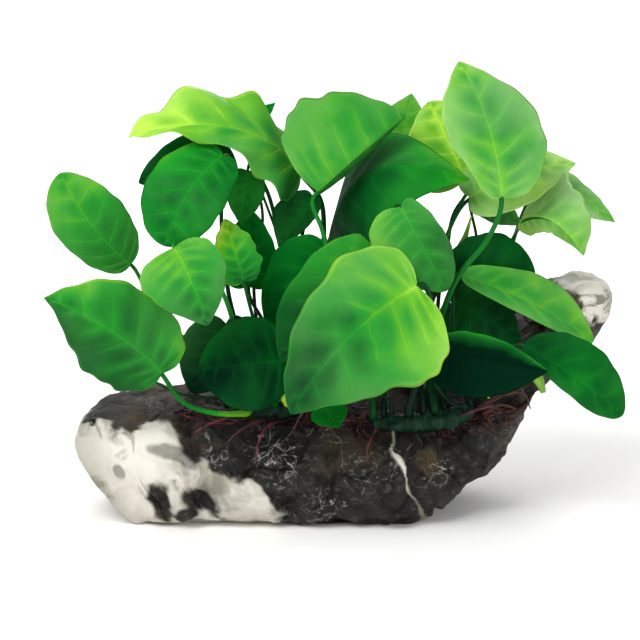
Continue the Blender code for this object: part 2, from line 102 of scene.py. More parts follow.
VEIN_COUNT = 9.0            # side veins between notch and tip, on each half
VEIN_SHIFT = 0.37           # the right half's veins leave the midrib a little later
WAVE_LATE = 1.9             # and its waves are this much out of step, in radians
EDGE_PLACES = (0.5, 1.05, 1.6, 2.15, 2.7)   # theta, from the notch to the tip
CUP = 6.0                   # degrees that the margins turn up
CREASE = 0.35               # depth of the crease over the midrib
CREASE_HALF = 0.9           # how far it reaches to each side


@dataclass
class Leaf:
    """One leaf: where it grows from, where its blade begins and ends, how it bends, how green."""
    name: str
    rhizome: str            # the rhizome that carries it
    at: float               # how far along that rhizome, 0..1
    base: tuple             # where the petiole meets the blade
    tip: tuple
    face: tuple             # the way the upper side faces
    width: float            # full width of the spread blade
    via: tuple = ()         # points that the petiole passes, from the foot up
    arch: float = 0.0       # rise of the midrib towards the upper side
    bend: float = 0.0       # bow of the midrib towards its right side
    left: tuple = (0, 0, 0)     # degrees the left half is lifted, at base, middle and tip
    right: tuple = (0, 0, 0)    # the same for the right half
    lobe: float = 0.1       # reach of the base lobes, as a share of the length
    belly: float = 0.25     # how far the widest place sits towards the base
    point: float = 0.7      # sharpness of the tip
    skew: float = 0.0       # extra width of the right half, as a share
    edge_left: tuple = ()   # fullness of the left margin at EDGE_PLACES, 1 = even
    edge_right: tuple = ()
    wave: float = 0.0       # height of the wavy margin
    waves: float = 2.0      # number of waves along the margin
    ragged: float = 1.0     # unevenness of the margin
    stalk: float = 1.3      # radius of the petiole
    tone: str = "mid"       # pale, mid or dark green
    glow: tuple = (0.5, 0.5, 0.0, 0.0)      # green at base and tip, and added at left and right: the leaf's own green with painted light and shade mixed in
    stem: float = 0.35      # green of the petiole
    sheath_and_shade: float = -0.28   # green added at its foot: painted shade where negative, the real pale sheath where positive
    haze: float = 0.0       # painted sheen: pale grey towards the margins
    quilt: float = 0.25     # height of the swells between the side veins


# The rhizomes: axis points and radii
RHIZOMES = {
    "left": (((-40, -26, 51), (-26, -28, 50.5), (-8, -24, 50.5)), (3.4, 4.4, 3.4)),
    "right": (((22, -33, 46), (38, -35, 46.5), (54, -34, 48), (66, -32, 52)),
              (3.2, 4.0, 4.2, 3.4)),
    "back": (((-36, 4, 58.5), (-10, 8, 60), (18, 6, 61.5), (44, 4, 64), (60, 0, 67)),
             (3.2, 4.2, 4.4, 4.2, 3.2)),
}

LEAVES = (
    # --- the front of the plant, carried by the right and left rhizomes
    Leaf("leaf_front", "right", 0.36, (40, -50, 109), (-12, -64, 58), (-0.05, -1, 0.25), 60,
         via=((38, -38, 55), (42, -40, 69), (47, -42, 95)), arch=5, bend=5, lobe=0.09,
         point=0.75, skew=0.06, wave=1.0, waves=3, stalk=1.7, tone="pale",
         glow=(0.8, 0.24, 0.02, 0.02), stem=0.12, haze=0.24, quilt=0.5,
         edge_left=(1.38, 1.32, 1.12, 1.16, 1.35), edge_right=(0.92, 0.86, 0.78, 0.82, 1.15),
         ragged=2.0),
    Leaf("leaf_front_behind", "right", 0.12, (24, -37, 116), (-16, -47, 76), (-0.3, -1, 0.1), 54,
         via=((29, -28, 80),), arch=4, lobe=0.1, bend=3, glow=(0.56, 0.2, 0.0, 0.02), stem=0.1,
         haze=0.06, edge_right=(0.85, 0.74, 0.7, 0.85, 1.1)),
    Leaf("leaf_centre_left", "back", 0.4, (8, -20.6, 115), (-22, -24, 84), (-0.1, -1, 0.3), 40,
         via=((3, -9, 90),), arch=3, lobe=0.0, bend=4, tone="dark", glow=(0.32, 0.24, 0.0, 0.02),
         stem=0.08, edge_right=(1, 0.95, 0.85, 0.8, 0.9)),
    Leaf("leaf_low_left_round", "left", 0.62, (-15, -44, 76), (-51, -40, 71), (0.1, -1, 0.3), 40,
         via=((-21, -35, 58), (-16, -40, 68)), arch=4, lobe=0.1, belly=0.1, point=0.3,
         tone="dark", glow=(0.16, 0.06, -0.02, 0.14), stem=0.3, quilt=0.6, haze=0.05,
         sheath_and_shade=-0.05, ragged=0.6),
    Leaf("leaf_low_left_shaded", "left", 0.92, (-40, -24, 87), (-55, -28, 58), (-0.2, -1, 0.1),
         29, via=((-21, -20, 74),), belly=0.1, point=0.4, tone="dark",
         glow=(0.06, 0.0, 0.0, 0.02), stem=0.1, haze=0.25),
    Leaf("leaf_low_centre_young", "right", 0.2, (2, -40, 55), (8, -52, 49), (0, -0.8, 0.6), 16,
         via=((30, -37, 56), (25, -37, 60), (12, -39, 61)), stalk=0.9, tone="dark",
         glow=(0.3, 0.3, 0.0, 0.0), stem=0.2),
    # --- the left side
    Leaf("leaf_far_left", "left", 0.02, (-81, -22, 113), (-109, -28, 153), (0.1, -1, 0.25), 34,
         via=((-48, -22, 66), (-62, -19, 84), (-76, -19, 104)), arch=3, bend=-3, lobe=0.03,
         belly=0.0, point=0.4, glow=(0.5, 0.62, 0.02, 0.0), stem=0.4,
         edge_left=(0.8, 0.78, 0.85, 1.0, 1.15), edge_right=(0.95, 0.93, 0.93, 0.97, 1.1),
         haze=0.2),
    Leaf("leaf_far_left_low", "left", 0.3, (-66, -50, 72), (-113, -60, 106), (0.15, -1, 0.45),
         47, via=((-34, -37, 51), (-44, -40, 52), (-57, -43, 57)), arch=3, bend=3,
         left=(-40, -40, -40), right=(6, 6, 6), lobe=0.1, belly=0.2, point=0.9, skew=0.04,
         wave=1.6, waves=3, stalk=1.5, tone="pale", glow=(0.46, 0.56, -0.2, 0.1), stem=0.34,
         quilt=0.5, edge_right=(0.85, 0.88, 0.95, 1.05, 1.5), haze=0.16, sheath_and_shade=0.45,
         ragged=2.6),
    Leaf("leaf_far_left_shaded", "left", 0.0, (-80, -40, 70), (-98, -44, 77), (0, -1, 0.2), 14,
         via=((-58, -32, 58),), stalk=0.9, tone="dark", glow=(0.2, 0.2, 0.0, 0.0), stem=0.15),
    Leaf("leaf_left_pale", "left", 0.46, (-60, -50, 125), (-46, -62, 95), (-0.05, -1, 0.35), 35,
         via=((-35, -33, 80), (-38, -35, 95), (-43, -38, 108)), arch=3, bend=-1, lobe=0.06,
         point=0.6, skew=0.08, tone="pale", glow=(0.66, 0.26, -0.04, 0.04), stem=0.5, haze=0.2,
         edge_right=(1.2, 1.08, 1, 1, 1)),
    Leaf("leaf_left_small", "left", 0.76, (-32, -38, 109), (-40, -31, 134), (0.1, -1, 0.3), 19,
         via=((-25, -31, 80), (-30, -32, 98)), arch=2, point=0.5, wave=0.8, waves=3, stalk=1.1,
         tone="pale", glow=(0.42, 0.82, 0.16, -0.1), stem=0.3, haze=0.1, ragged=4.0),
    Leaf("leaf_left_upper", "back", 0.02, (-41, -22, 160), (-65, -40, 124), (-0.2, -1, 0.55), 38,
         via=((-40, -10, 100), (-42, -16, 140)), arch=5, bend=2, lobe=0.08, belly=0.0, point=0.3,
         skew=0.12, glow=(0.52, 0.34, -0.14, 0.12), stem=0.2, haze=0.0,
         edge_left=(1, 1, 1.05, 1.2, 1.4), edge_right=(0.9, 0.85, 0.9, 0.95, 1.1)),
    Leaf("leaf_left_teal", "back", 0.1, (-31, -8, 151), (-34, -11, 128), (0.1, -1, 0.2), 17,
         via=((-29, 2, 105), (-25, -1, 132)), stalk=1.0, tone="dark",
         glow=(0.38, 0.36, 0.0, 0.0), stem=0.15, haze=0.1),
    Leaf("leaf_left_round", "back", 0.16, (-31, -9, 101), (-30, -8, 134), (0, -1, 0.1), 24,
         via=((-25, -3, 84),), point=0.3, stalk=1.2, tone="dark", glow=(0.26, 0.38, 0.0, 0.0),
         stem=0.1),
    Leaf("leaf_left_rear", "back", 0.22, (-42, 4, 163), (-78, -8, 146), (-0.2, -1, 0.4), 44,
         via=((-19, 6, 125), (-24, 8, 142)), arch=4, lobe=0.06, tone="dark",
         glow=(0.2, 0.16, 0.0, 0.0), stem=0.3, haze=0.05,
         edge_right=(0.5, 0.42, 0.42, 0.5, 0.7)),
    # --- the top
    Leaf("leaf_top_left", "back", 0.45, (-8, 4, 151), (-81, -20, 167), (0.1, -0.6, 0.8), 56,
         via=((2, 15, 110), (0, 15, 136)), arch=16, lobe=0.08, right=(5, 5, 5),
         left=(-35, -20, 0), wave=3.0, waves=4.5, point=0.8, stalk=1.6, tone="pale",
         glow=(0.56, 0.96, -0.14, 0.06), stem=0.28, edge_left=(1.1, 0.7, 0.45, 0.38, 0.38),
         edge_right=(0.5, 0.6, 0.76, 1.05, 1.8), haze=0.18, ragged=5.0),
    Leaf("leaf_top_left_young", "back", 0.28, (-31, 24, 168), (-20, 30, 176.5), (0, -0.5, 0.8),
         9, via=((-16, 16, 110), (-28, 20, 145)), stalk=0.9, tone="dark",
         glow=(0.36, 0.4, 0.0, 0.0), stem=0.3),
    Leaf("leaf_top_centre", "right", 0.02, (-1, -20, 144), (37, 0, 174), (-0.1, -1, 0.2), 54,
         via=((12, -28, 90), (6, -29, 110), (1, -23, 128)), arch=4, right=(-80, -80, -80),
         lobe=0.06, point=0.6, skew=-0.4, stalk=1.5, glow=(0.52, 0.6, 0.04, -0.2), stem=0.42,
         haze=0.25, edge_left=(0.92, 0.9, 0.88, 1.0, 1.3), edge_right=(0.6, 0.6, 0.6, 0.7, 0.8),
         ragged=2.2),
    Leaf("leaf_top_centre_rear", "back", 0.5, (34, 26.5, 151), (41, 35, 180), (0, -1, 0.3), 28,
         via=((13, 19, 100), (20, 24, 134)), tone="dark", glow=(0.6, 0.72, 0.0, 0.0), stem=0.2,
         haze=0.25),
    Leaf("leaf_centre_arched", "back", 0.58, (3.5, 10.5, 117), (64, -14, 148),
         (-0.1, -0.35, 0.9), 72, via=((20, 12, 90),), arch=22, lobe=0.03, belly=0.35,
         right=(-30, -30, -30), stalk=1.6, tone="dark", glow=(-0.02, 0.66, 0.08, 0.0), stem=0.2,
         haze=0.04, quilt=0.5),
    Leaf("leaf_centre_folded", "back", 0.34, (-3, -2, 139), (-18, -8, 118), (-0.3, -1, 0.1), 24,
         via=((-9, 6, 105), (-7, 4, 125)), stalk=1.2, tone="dark", glow=(0.24, 0.28, -0.1, 0.0),
         stem=0.1, left=(-30, -30, -30), edge_left=(0.6, 0.55, 0.5, 0.5, 0.6),
         edge_right=(0.7, 0.8, 1.0, 1.1, 1.05), haze=0.1),
    Leaf("leaf_centre_heart", "right", 0.5, (34, -32, 139), (53, -40, 105), (0, -1, 0.25), 40,
         via=((38, -26, 85), (33, -28, 112), (30, -29, 130)), arch=3, lobe=0.12, belly=0.15,
         point=0.4, glow=(0.62, 0.36, -0.06, 0.08), stem=0.2, haze=0.22,
         edge_left=(0.5, 0.5, 0.56, 0.68, 0.85)),
    # --- the right side
    Leaf("leaf_top_right", "right", 0.62, (76, -34, 144), (59, -10, 198), (0.05, -1, 0.3), 44,
         via=((47, -30, 62), (51, -27, 88), (58, -32, 109), (71, -34, 127)), arch=4, bend=3,
         lobe=0.05, belly=0.1, point=0.6, stalk=1.7, tone="pale", glow=(0.64, 0.72, 0.02, 0.0),
         stem=0.36, haze=0.55, quilt=0.5, edge_left=(0.55, 0.62, 0.85, 1.0, 1.05),
         edge_right=(1, 1, 0.98, 0.8, 0.65), ragged=1.4),
    Leaf("leaf_top_right_rear", "back", 0.76, (64, 10, 145), (48, 20, 178), (0, -1, 0.3), 44,
         via=((54, 8, 100), (59, 10, 130)), point=0.3, tone="pale", glow=(0.84, 0.88, 0.0, 0.0),
         stem=0.3, haze=0.35),
    Leaf("leaf_right_rear", "back", 0.84, (65, -2, 139), (112, 10, 152), (0, -0.75, 0.65), 32,
         via=((50, 0, 100), (55, -4, 122)), arch=6, tone="pale", glow=(0.78, 0.98, 0.02, 0.0),
         stem=0.24, haze=0.7),
    Leaf("leaf_right_shaded", "back", 0.9, (70, 12, 136), (89, 8, 125), (0, -0.8, 0.5), 14,
         via=((69, 8, 118),), stalk=1.0, tone="dark", glow=(0.44, 0.42, 0.0, 0.0), stem=0.24,
         haze=0.5),
    Leaf("leaf_right_drooping", "back", 0.95, (87, -10, 131), (112, -24, 117), (0.1, -0.8, 0.6),
         50, via=((76, 8, 98), (85, 5, 120)), arch=12, right=(-75, -75, -75), lobe=0.2, wave=1.5,
         skew=-0.5, tone="pale", glow=(0.82, 0.74, 0.0, 0.04), stem=0.36, haze=0.9,
         edge_left=(0.88, 0.77, 0.52, 0.66, 1.4), edge_right=(0.7, 0.7, 0.7, 0.7, 0.7),
         ragged=2.5),
    Leaf("leaf_right_outer", "back", 1.0, (104, 16, 147), (130, 10, 126), (0.1, -0.8, 0.5), 20,
         via=((80, 16, 100), (95, 20, 138)), glow=(0.74, 0.72, 0.0, 0.0), stem=0.3, haze=0.95,
         edge_left=(0.6, 0.5, 0.5, 0.6, 0.75), ragged=2.5),
    Leaf("leaf_right_dark", "back", 0.7, (57, -6, 103), (94, -2, 106), (0, -1, 0.3), 42,
         via=((50, -6, 85),), arch=3, point=0.3, belly=0.0, tone="dark",
         glow=(0.16, 0.22, 0.0, 0.0), stem=0.1, edge_left=(0.9, 0.88, 0.9, 0.95, 1), haze=0.06),
    Leaf("leaf_over_horn", "right", 0.74, (61, -21, 108), (119, -12, 77), (0.15, -0.6, 0.75), 26,
         via=((57, -25, 72), (57, -23, 96)), arch=4, lobe=0.03, belly=0.0, point=0.3,
         glow=(0.58, 0.66, 0.04, 0.04), stem=0.1, haze=0.26, edge_left=(1, 1.05, 1.3, 1.5, 1.4),
         edge_right=(0.75, 0.7, 0.7, 0.75, 0.9), ragged=0.6),
    Leaf("leaf_right_inner", "back", 0.97, (58, -12, 95), (87, -17, 78), (0, -1, 0.4), 30,
         via=((60, -8, 80),), arch=3, tone="dark", glow=(0.2, 0.22, 0.0, 0.0), stem=0.1,
         haze=0.12),
    Leaf("leaf_low_right_rolled", "right", 0.9, (53, -39, 78), (96, -42, 71), (0, -0.85, 0.5),
         34, via=((60, -38, 55), (52, -37, 60), (48, -38, 70)), left=(50, 50, 50),
         right=(-10, -10, -10), skew=0.25, lobe=0.2, tone="dark",
         glow=(-0.08, -0.04, 0.55, -0.04), stem=0.12, edge_right=(0.85, 0.8, 0.8, 0.85, 0.9),
         haze=0.05),
    Leaf("leaf_low_right", "right", 0.98, (87, -29, 79), (128, -43, 52), (0.2, -1, 0.6), 34,
         via=((74, -27, 68),), arch=4, lobe=0.02, belly=0.0, point=0.3, tone="dark",
         glow=(0.3, 0.24, 0.0, 0.0), stem=0.2, edge_right=(0.45, 0.45, 0.5, 0.65, 0.8),
         haze=0.06),
)

# Main roots: name, axis points and radius
ROOTS = (
    ("root_left_crown", ((-37, -22, 55), (-42, -20, 58), (-50, -21, 57), (-60, -26, 54)), 1.0),
    ("root_left_cross", ((-37, -30.5, 48), (-42, -36, 48), (-48, -41, 47), (-54, -44, 44)), 0.9),
    ("root_left_front", ((-24, -34, 47.5), (-30, -41, 47), (-36, -45, 44), (-40, -46.5, 40)),
     0.9),
    ("root_left_hanging", ((-18, -32, 46.5), (-23, -42, 46), (-26, -46.5, 41),
                           (-27, -46.5, 33)), 1.0),
    ("root_middle_front", ((-7, -29, 50), (-9, -38, 49), (-12, -45, 45), (-17, -47, 40)), 0.8),
    ("root_middle_hanging", ((24, -38, 45), (22, -45, 43), (20, -48, 39), (20, -48, 33)), 0.8),
    ("root_right_pink", ((60, -39, 51), (67, -41, 54), (73, -41, 55), (77, -40, 52)), 0.9),
    ("root_right_orange", ((70, -33, 54), (79, -31.5, 58), (87, -28, 58), (91, -24, 50)), 1.0),
    ("root_right_fork", ((70, -33, 50), (76, -34, 54), (82, -33, 53), (86, -31, 46)), 0.8),
)

# Buds and shoots: name, axis points, radius at each, and the green at foot and tip
SHOOTS = (
    ("bud_left_yellow", ((-14, -29.5, 53), (-15, -32, 57), (-15, -33, 62)), (1.4, 2.0, 0.4),
     (0.8, 0.95)),
    ("bud_right_green", ((71, -36, 58), (81, -34, 70), (88, -33, 72), (92, -32, 67),
                         (94.5, -31.5, 62), (95.5, -31.5, 59)), (0.9, 1.2, 1.2, 1.2, 2.5, 1.2),
     (0.85, 0.5)),
    ("shoot_right_pointed", ((47, 10, 68), (50, 14, 90), (60, 10, 110), (64, 5, 121),
                             (66, 2, 130)), (1.0, 1.2, 1.4, 1.9, 0.3), (0.3, 0.5)),
    ("shoot_centre_purple", ((14, 1, 66), (14, -15, 90), (17, -25, 112), (17, -28, 121),
                             (17, -30, 127)), (1.0, 1.2, 1.6, 2.8, 1.4), (0.2, 0.2)),
)

# Where fine roots spring from: cluster, start x and y, how far they spread along x
ROOT_CLUSTERS = (
    ("roots_fine_left", -62, -22, 44),
    ("roots_fine_middle", -18, -26, 46),
    ("roots_fine_right", 24, -30, 66),
)


# ---------------------------------------------------------------- numbers and noise
def unit(v):
    """v scaled to length 1."""
    v = np.asarray(v, float)
    return v / np.maximum(np.linalg.norm(v, axis=-1, keepdims=True), 1e-12)


def smooth(low, high, x):
    """0 below low, 1 above high, and 3t^2 - 2t^3 between."""
    t = np.clip((np.asarray(x, float) - low) / (high - low), 0.0, 1.0)
    return t * t * (3 - 2 * t)


def hashed(cell, seed):
    """A fixed number 0..1 for each whole-number cell (..., 3)."""
    c = cell.astype(np.int64)
    h = (c[..., 0] * 374761393 + c[..., 1] * 668265263 + c[..., 2] * 2147483647
         + seed * 1274126177) & 0xFFFFFFFF
    h = ((h ^ (h >> 13)) * 1103515245) & 0xFFFFFFFF
    h = ((h ^ (h >> 16)) * 2654435761) & 0xFFFFFFFF
    return (h ^ (h >> 15)) / 4294967296.0


def noise(p, seed=0):
    """Value noise -1..1: lattice values blended with 6t^5 - 15t^4 + 10t^3."""
    p = np.asarray(p, float)
    cell = np.floor(p)
    f = p - cell
    w = f * f * f * (f * (f * 6 - 15) + 10)
    total = 0.0
    for corner in range(8):
        step = np.array([corner & 1, corner >> 1 & 1, corner >> 2 & 1])
        weight = np.prod(np.where(step, w, 1 - w), axis=-1)
        total = total + weight * hashed(cell + step, seed)
    return total * 2 - 1


def fbm(p, octaves, seed=0, gain=0.5):
    """Sum of octaves of noise, each twice as fine and gain times as high."""
    total, height = 0.0, 1.0
    for k in range(octaves):
        total = total + height * noise(np.asarray(p) * 2.0 ** k, seed + 31 * k)
        height *= gain
    return total


def cells(p, seed=0):
    """Nearest and second nearest distance to scattered points, the nearest cell, and the
    offset from its point: one point sits somewhere in each unit cell."""
    p = np.asarray(p, float)
    home = np.floor(p)
    near = np.full(p.shape[:-1], 9.0)
    second = near.copy()
    owner = np.zeros_like(p)
    offset = np.zeros_like(p)
    for n in range(27):
        cell = home + np.array([n % 3 - 1, n // 3 % 3 - 1, n // 9 - 1])
        point = cell + np.stack([hashed(cell, seed + k) for k in (1, 2, 3)], axis=-1)
        away = p - point
        d = np.linalg.norm(away, axis=-1)
        closer = d < near
        second = np.where(closer, near, np.minimum(second, d))
        near = np.where(closer, d, near)
        owner = np.where(closer[..., None], cell, owner)
        offset = np.where(closer[..., None], away, offset)
    return near, second, owner, offset


def spline(points, count):
    """A smooth curve through points: Hermite arcs with chord-length parameters."""
    p = np.asarray(points, float)
    chord = np.linalg.norm(np.diff(p, axis=0), axis=1)
    knots = np.concatenate([[0.0], np.cumsum(chord)])
    slope = np.gradient(p, knots, axis=0) if len(p) > 2 else np.repeat(
        (p[1:] - p[:1]) / chord[0], 2, axis=0)
    t = np.linspace(0.0, knots[-1], count)
    i = np.clip(np.searchsorted(knots, t, side="right") - 1, 0, len(p) - 2)
    h = (knots[i + 1] - knots[i])[:, None]
    s = (t - knots[i])[:, None] / h
    return ((1 + 2 * s) * (1 - s) ** 2 * p[i] + s * (1 - s) ** 2 * h * slope[i]
            + s * s * (3 - 2 * s) * p[i + 1] + s * s * (s - 1) * h * slope[i + 1])


def spokes(path, right, around):
    """Unit directions from each place of a path to the points of a ring round it: right is
    carried back from the path's end without turning, and the ring steps evenly from it."""
    right = np.array(right, float)
    rights, normals = [], []
    for tangent in unit(np.gradient(path, axis=0))[::-1]:
        right = unit(right - tangent * tangent.dot(right))
        rights.append(right)
        normals.append(np.cross(right, tangent))
    angle = np.linspace(0, TAU, around, endpoint=False)[None, :, None]
    return (np.array(rights[::-1])[:, None] * np.cos(angle)
            - np.array(normals[::-1])[:, None] * np.sin(angle))


def between(t, ends):
    """The values in ends, spread evenly over 0..1, read at t."""
    return np.interp(t, np.linspace(0, 1, len(ends)), ends)


def relaxed(path):
    """Draws each inner point of path halfway to the middle of its neighbours."""
    path[1:-1] = (path[:-2] + 2 * path[1:-1] + path[2:]) / 4
    return path


# ---------------------------------------------------------------- meshes
def build(name, parts, materials):
    """One smooth mesh object at the origin from closed lofts.

    Each part is (points in mm as rows of rings, its UVs, its value layers, material number).
    Quads join the rings, and one face closes each end; a loft that comes out inside out by its
    signed volume has its faces turned."""
    verts, loops, totals, numbers, uvs = [], [], [], [], []
    keys = sorted({key for part in parts for key in part[2]})
    values = {key: [] for key in keys}
    count = 0
    for points, uv, layers, number in parts:
        rows, around = points.shape[:2]
        flat = points.reshape(-1, 3)
        faces = ring_faces(rows, around)
        corner = flat[faces[0]] - flat.mean(axis=0)
        first = np.einsum("ij,ij->i", corner[:, 0], np.cross(corner[:, 1], corner[:, 2]))
        second = np.einsum("ij,ij->i", corner[:, 0], np.cross(corner[:, 2], corner[:, 3]))
        if first.sum() + second.sum() < 0:
            faces = [face[:, ::-1] for face in faces]
        verts.append(flat)
        uvs.append(np.asarray(uv).reshape(-1, 2))
        for key in keys:
            layer = layers.get(key, 0.0)
            values[key].append(np.broadcast_to(layer, (rows, around)).reshape(-1))
        for face in faces:
            loops.append((face + count).reshape(-1))
            totals.append(np.full(len(face), face.shape[1]))
            numbers.append(np.full(len(face), number))
        count += len(flat)
    verts, loops, totals, numbers, uvs = (np.concatenate(x) for x in (verts, loops, totals,
                                                                      numbers, uvs))
    mesh = bpy.data.meshes.new(name)
    mesh.vertices.add(len(verts))
    mesh.vertices.foreach_set("co", (verts * MM).astype(np.float32).reshape(-1))
    mesh.loops.add(len(loops))
    mesh.loops.foreach_set("vertex_index", loops.astype(np.int32))
    mesh.polygons.add(len(totals))
    starts = np.concatenate([[0], np.cumsum(totals)[:-1]])
    mesh.polygons.foreach_set("loop_start", starts.astype(np.int32))
    mesh.polygons.foreach_set("use_smooth", np.ones(len(totals), dtype=bool))
    mesh.polygons.foreach_set("material_index", numbers.astype(np.int32))
    mesh.uv_layers.new(name="UVMap").data.foreach_set(
        "uv", uvs[loops].astype(np.float32).reshape(-1))
    for key in keys:
        layer = mesh.attributes.new(key, "FLOAT", "POINT")
        layer.data.foreach_set("value", np.concatenate(values[key]).astype(np.float32))
    for material in materials:
        mesh.materials.append(material)
    mesh.update(calc_edges=True)
    mesh.validate()
    obj = bpy.data.objects.new(name, mesh)
    bpy.context.scene.collection.objects.link(obj)
    return obj


def ring_faces(rows, around):
    """Faces of a closed loft: quads between the rings and one face across each end."""
    i = np.arange(rows - 1)[:, None] * around
    j = np.arange(around)[None, :]
    k = (j + 1) % around
    quads = np.stack([i + j, i + k, i + around + k, i + around + j], axis=-1).reshape(-1, 4)
    first = np.arange(around)[::-1][None, :]
    last = (rows - 1) * around + np.arange(around)[None, :]
    return [quads, first, last]


def tube(points, radii, rows, around, wobble, seed):
    """Rings round a curve through points: radius interpolated along it, plus wobble noise."""
    path = spline(points, rows)
    radius = between(np.linspace(0, 1, rows), radii)
    ring = spokes(path, (1.0, 0.31, 0.17), around)
    bumps = 1 + wobble * noise(path[:, None] * 0.9 + ring * 1.3, seed)[..., None]
    return path[:, None] + ring * radius[:, None, None] * bumps


# ---------------------------------------------------------------- materials
class Nodes:
    """Builds a node tree in few words: node() adds a node, feed() sets or links an input, and
    each of the others adds what it is called after and returns its output."""

    def __init__(self, tree):
        self.tree = tree

    def node(self, kind, **values):
        node = self.tree.nodes.new(kind)
        for key, value in values.items():
            setattr(node, key, value)
        return node

    def feed(self, socket, value):
        if hasattr(value, "is_linked"):
            self.tree.links.new(value, socket)
        elif socket.type == "RGBA":
            socket.default_value = (*value[:3], 1.0)
        else:
            socket.default_value = value

    def fed(self, kind, sockets, **values):
        """A node whose named or numbered inputs are fed."""
        node = self.node(kind, **values)
        for key, value in sockets.items():
            self.feed(node.inputs[key], value)
        return node

    def math(self, operation, a, b=0.0, clamp=False):
        return self.fed("ShaderNodeMath", {0: a, 1: b}, operation=operation,
                        use_clamp=clamp).outputs[0]

    def add(self, a, b):
        return self.math("ADD", a, b)

    def times(self, a, b):
        return self.math("MULTIPLY", a, b)

    def centred(self, value, height):
        """A value of 0..1 made to swing evenly about 0, by half of height each way."""
        return self.times(self.math("SUBTRACT", value, 0.5), height)

    def place(self):
        """The place in the object."""
        return self.node("ShaderNodeTexCoord").outputs["Object"]

    def mix(self, factor, a, b):
        return self.fed("ShaderNodeMix", {"Factor": factor, 6: a, 7: b},
                        data_type="RGBA").outputs[2]

    def step(self, value, low, high, to_low=0.0, to_high=1.0):
        sockets = dict(enumerate((value, low, high, to_low, to_high)))
        return self.fed("ShaderNodeMapRange", sockets,
                        interpolation_type="SMOOTHSTEP").outputs[0]

    def attribute(self, name):
        return self.node("ShaderNodeAttribute", attribute_name=name).outputs["Fac"]

    def noise(self, vector, scale, detail=3.0, rough=0.55, distort=0.0):
        return self.fed("ShaderNodeTexNoise", {
            "Vector": vector, "Scale": scale, "Detail": detail, "Roughness": rough,
            "Distortion": distort}).outputs["Fac"]

    def borders(self, vector, scale):
        return self.fed("ShaderNodeTexVoronoi", {"Vector": vector, "Scale": scale},
                        feature="DISTANCE_TO_EDGE").outputs["Distance"]

    def bump(self, height, strength, distance):
        return self.fed("ShaderNodeBump", {"Height": height, "Strength": strength,
                                           "Distance": distance}).outputs["Normal"]


def new_group(name, inputs, outputs):
    """A shader node group with number inputs (name: default) and outputs (names)."""
    tree = bpy.data.node_groups.new(name, "ShaderNodeTree")
    kind = "NodeSocketFloat"
    for key, value in inputs.items():
        tree.interface.new_socket(key, in_out="INPUT", socket_type=kind).default_value = value
    for key in outputs:
        tree.interface.new_socket(key, in_out="OUTPUT", socket_type=kind)
    return tree, tree.nodes.new("NodeGroupInput"), tree.nodes.new("NodeGroupOutput")


def new_material(name, roughness, **sockets):
    """A material with a Principled shader whose constant sockets are set directly."""
    mat = bpy.data.materials.new(name)
    mat.use_nodes = True
    shader = mat.node_tree.nodes["Principled BSDF"]
    shader.inputs["Roughness"].default_value = roughness
    for key, value in sockets.items():
        shader.inputs[key.replace("_", " ")].default_value = value
    return mat, Nodes(mat.node_tree), shader


# ---------------------------------------------------------------- settings a user may change
def srgb(r, g, b):
    """A colour given as 0..255 display values, made linear."""
    c = np.array([r, g, b]) / 255
    return tuple(float(x) for x in np.where(c <= 0.04045, c / 12.92, ((c + 0.055) / 1.055) ** 2.4))


def colour_prop(name, description, rgb):
    """A colour setting, its default given as display values."""
    return bpy.props.FloatVectorProperty(
        name=name, description=description, default=srgb(*rgb), size=3, min=0.0, max=1.0,
        subtype="COLOR")


class StoneSettings(bpy.types.PropertyGroup):
    """Relief and colours of the stone"""
    relief: bpy.props.FloatProperty(
        name="Relief", description="Height of the broken facets", default=1.0, min=0.0, max=2.0)
    # the dark rock is also painted shade in the hollows of the relief
    dark: colour_prop("Dark rock", "Colour of the hollows", (7, 7, 7))
    grey: colour_prop("Grey rock", "Colour of the open faces", (46, 44, 41))
    quartz: colour_prop("Quartz", "Colour of the white bands", (216, 212, 202))
    # this colour is the quartz's real wear and also painted shade towards its left end, its foot
    # and its hollows
    worn_and_shaded: colour_prop("Worn quartz", "Colour of the dull parts of the bands", (124, 120, 104))
    brown: colour_prop("Brown rock", "Colour of the stained parts", (88, 74, 50))
    fleck: colour_prop("Flecks", "Colour of the fine light grains", (104, 100, 92))


class LeafSettings(bpy.types.PropertyGroup):
    """Leaf grid, thickness and the greens"""
    thickness: bpy.props.FloatProperty(
        name="Thickness", description="Thickness of a blade beside its midrib", default=0.0005,
        min=0.0002, max=0.001, unit="LENGTH")
    rows: bpy.props.IntProperty(
        name="Rows", description="Grid rows along a blade", default=84, min=24, max=160)
    columns: bpy.props.IntProperty(
        name="Columns", description="Grid columns across a blade", default=37, min=13, max=81)
    shade: colour_prop("Shade green", "Darkest green, deep in the plant", (0, 30, 16))
    deep: colour_prop("Deep green", "Old leaves", (0, 82, 24))
    fresh: colour_prop("Fresh green", "Grown leaves", (20, 130, 30))
    bright: colour_prop("Bright green", "Young leaves", (90, 164, 20))
    lime: colour_prop("Lime", "Lit margins and new growth", (164, 210, 58))
    # the pale grey-greens of a painted sheen on the leaves
    sheen_dark: colour_prop("Dark sheen", "Grey sheen on dark leaves", (24, 78, 50))
    sheen_light: colour_prop("Pale sheen", "Grey sheen on pale leaves", (166, 206, 138))


class RootSettings(bpy.types.PropertyGroup):
    """Number and colours of the roots"""
    strands: bpy.props.IntProperty(
        name="Strands", description="Fine roots in each cluster", default=75, min=4, max=200)
    seed: bpy.props.IntProperty(name="Seed", description="Seed of the fine roots", default=7)
    magenta: colour_prop("Magenta", "Colour of the young roots", (104, 38, 60))
    rust: colour_prop("Rust", "Colour of the old roots", (88, 44, 30))


class StageSettings(bpy.types.PropertyGroup):
    """Floor and lights"""
    floor: colour_prop("Floor", "Colour of the floor", (250, 249, 246))
    key: bpy.props.FloatProperty(
        name="Key light", description="Power of the big soft light", default=15.0, min=0.0,
        unit="POWER")
    sky: bpy.props.FloatProperty(
        name="Sky", description="Strength of the even light all round", default=0.55, min=0.0)


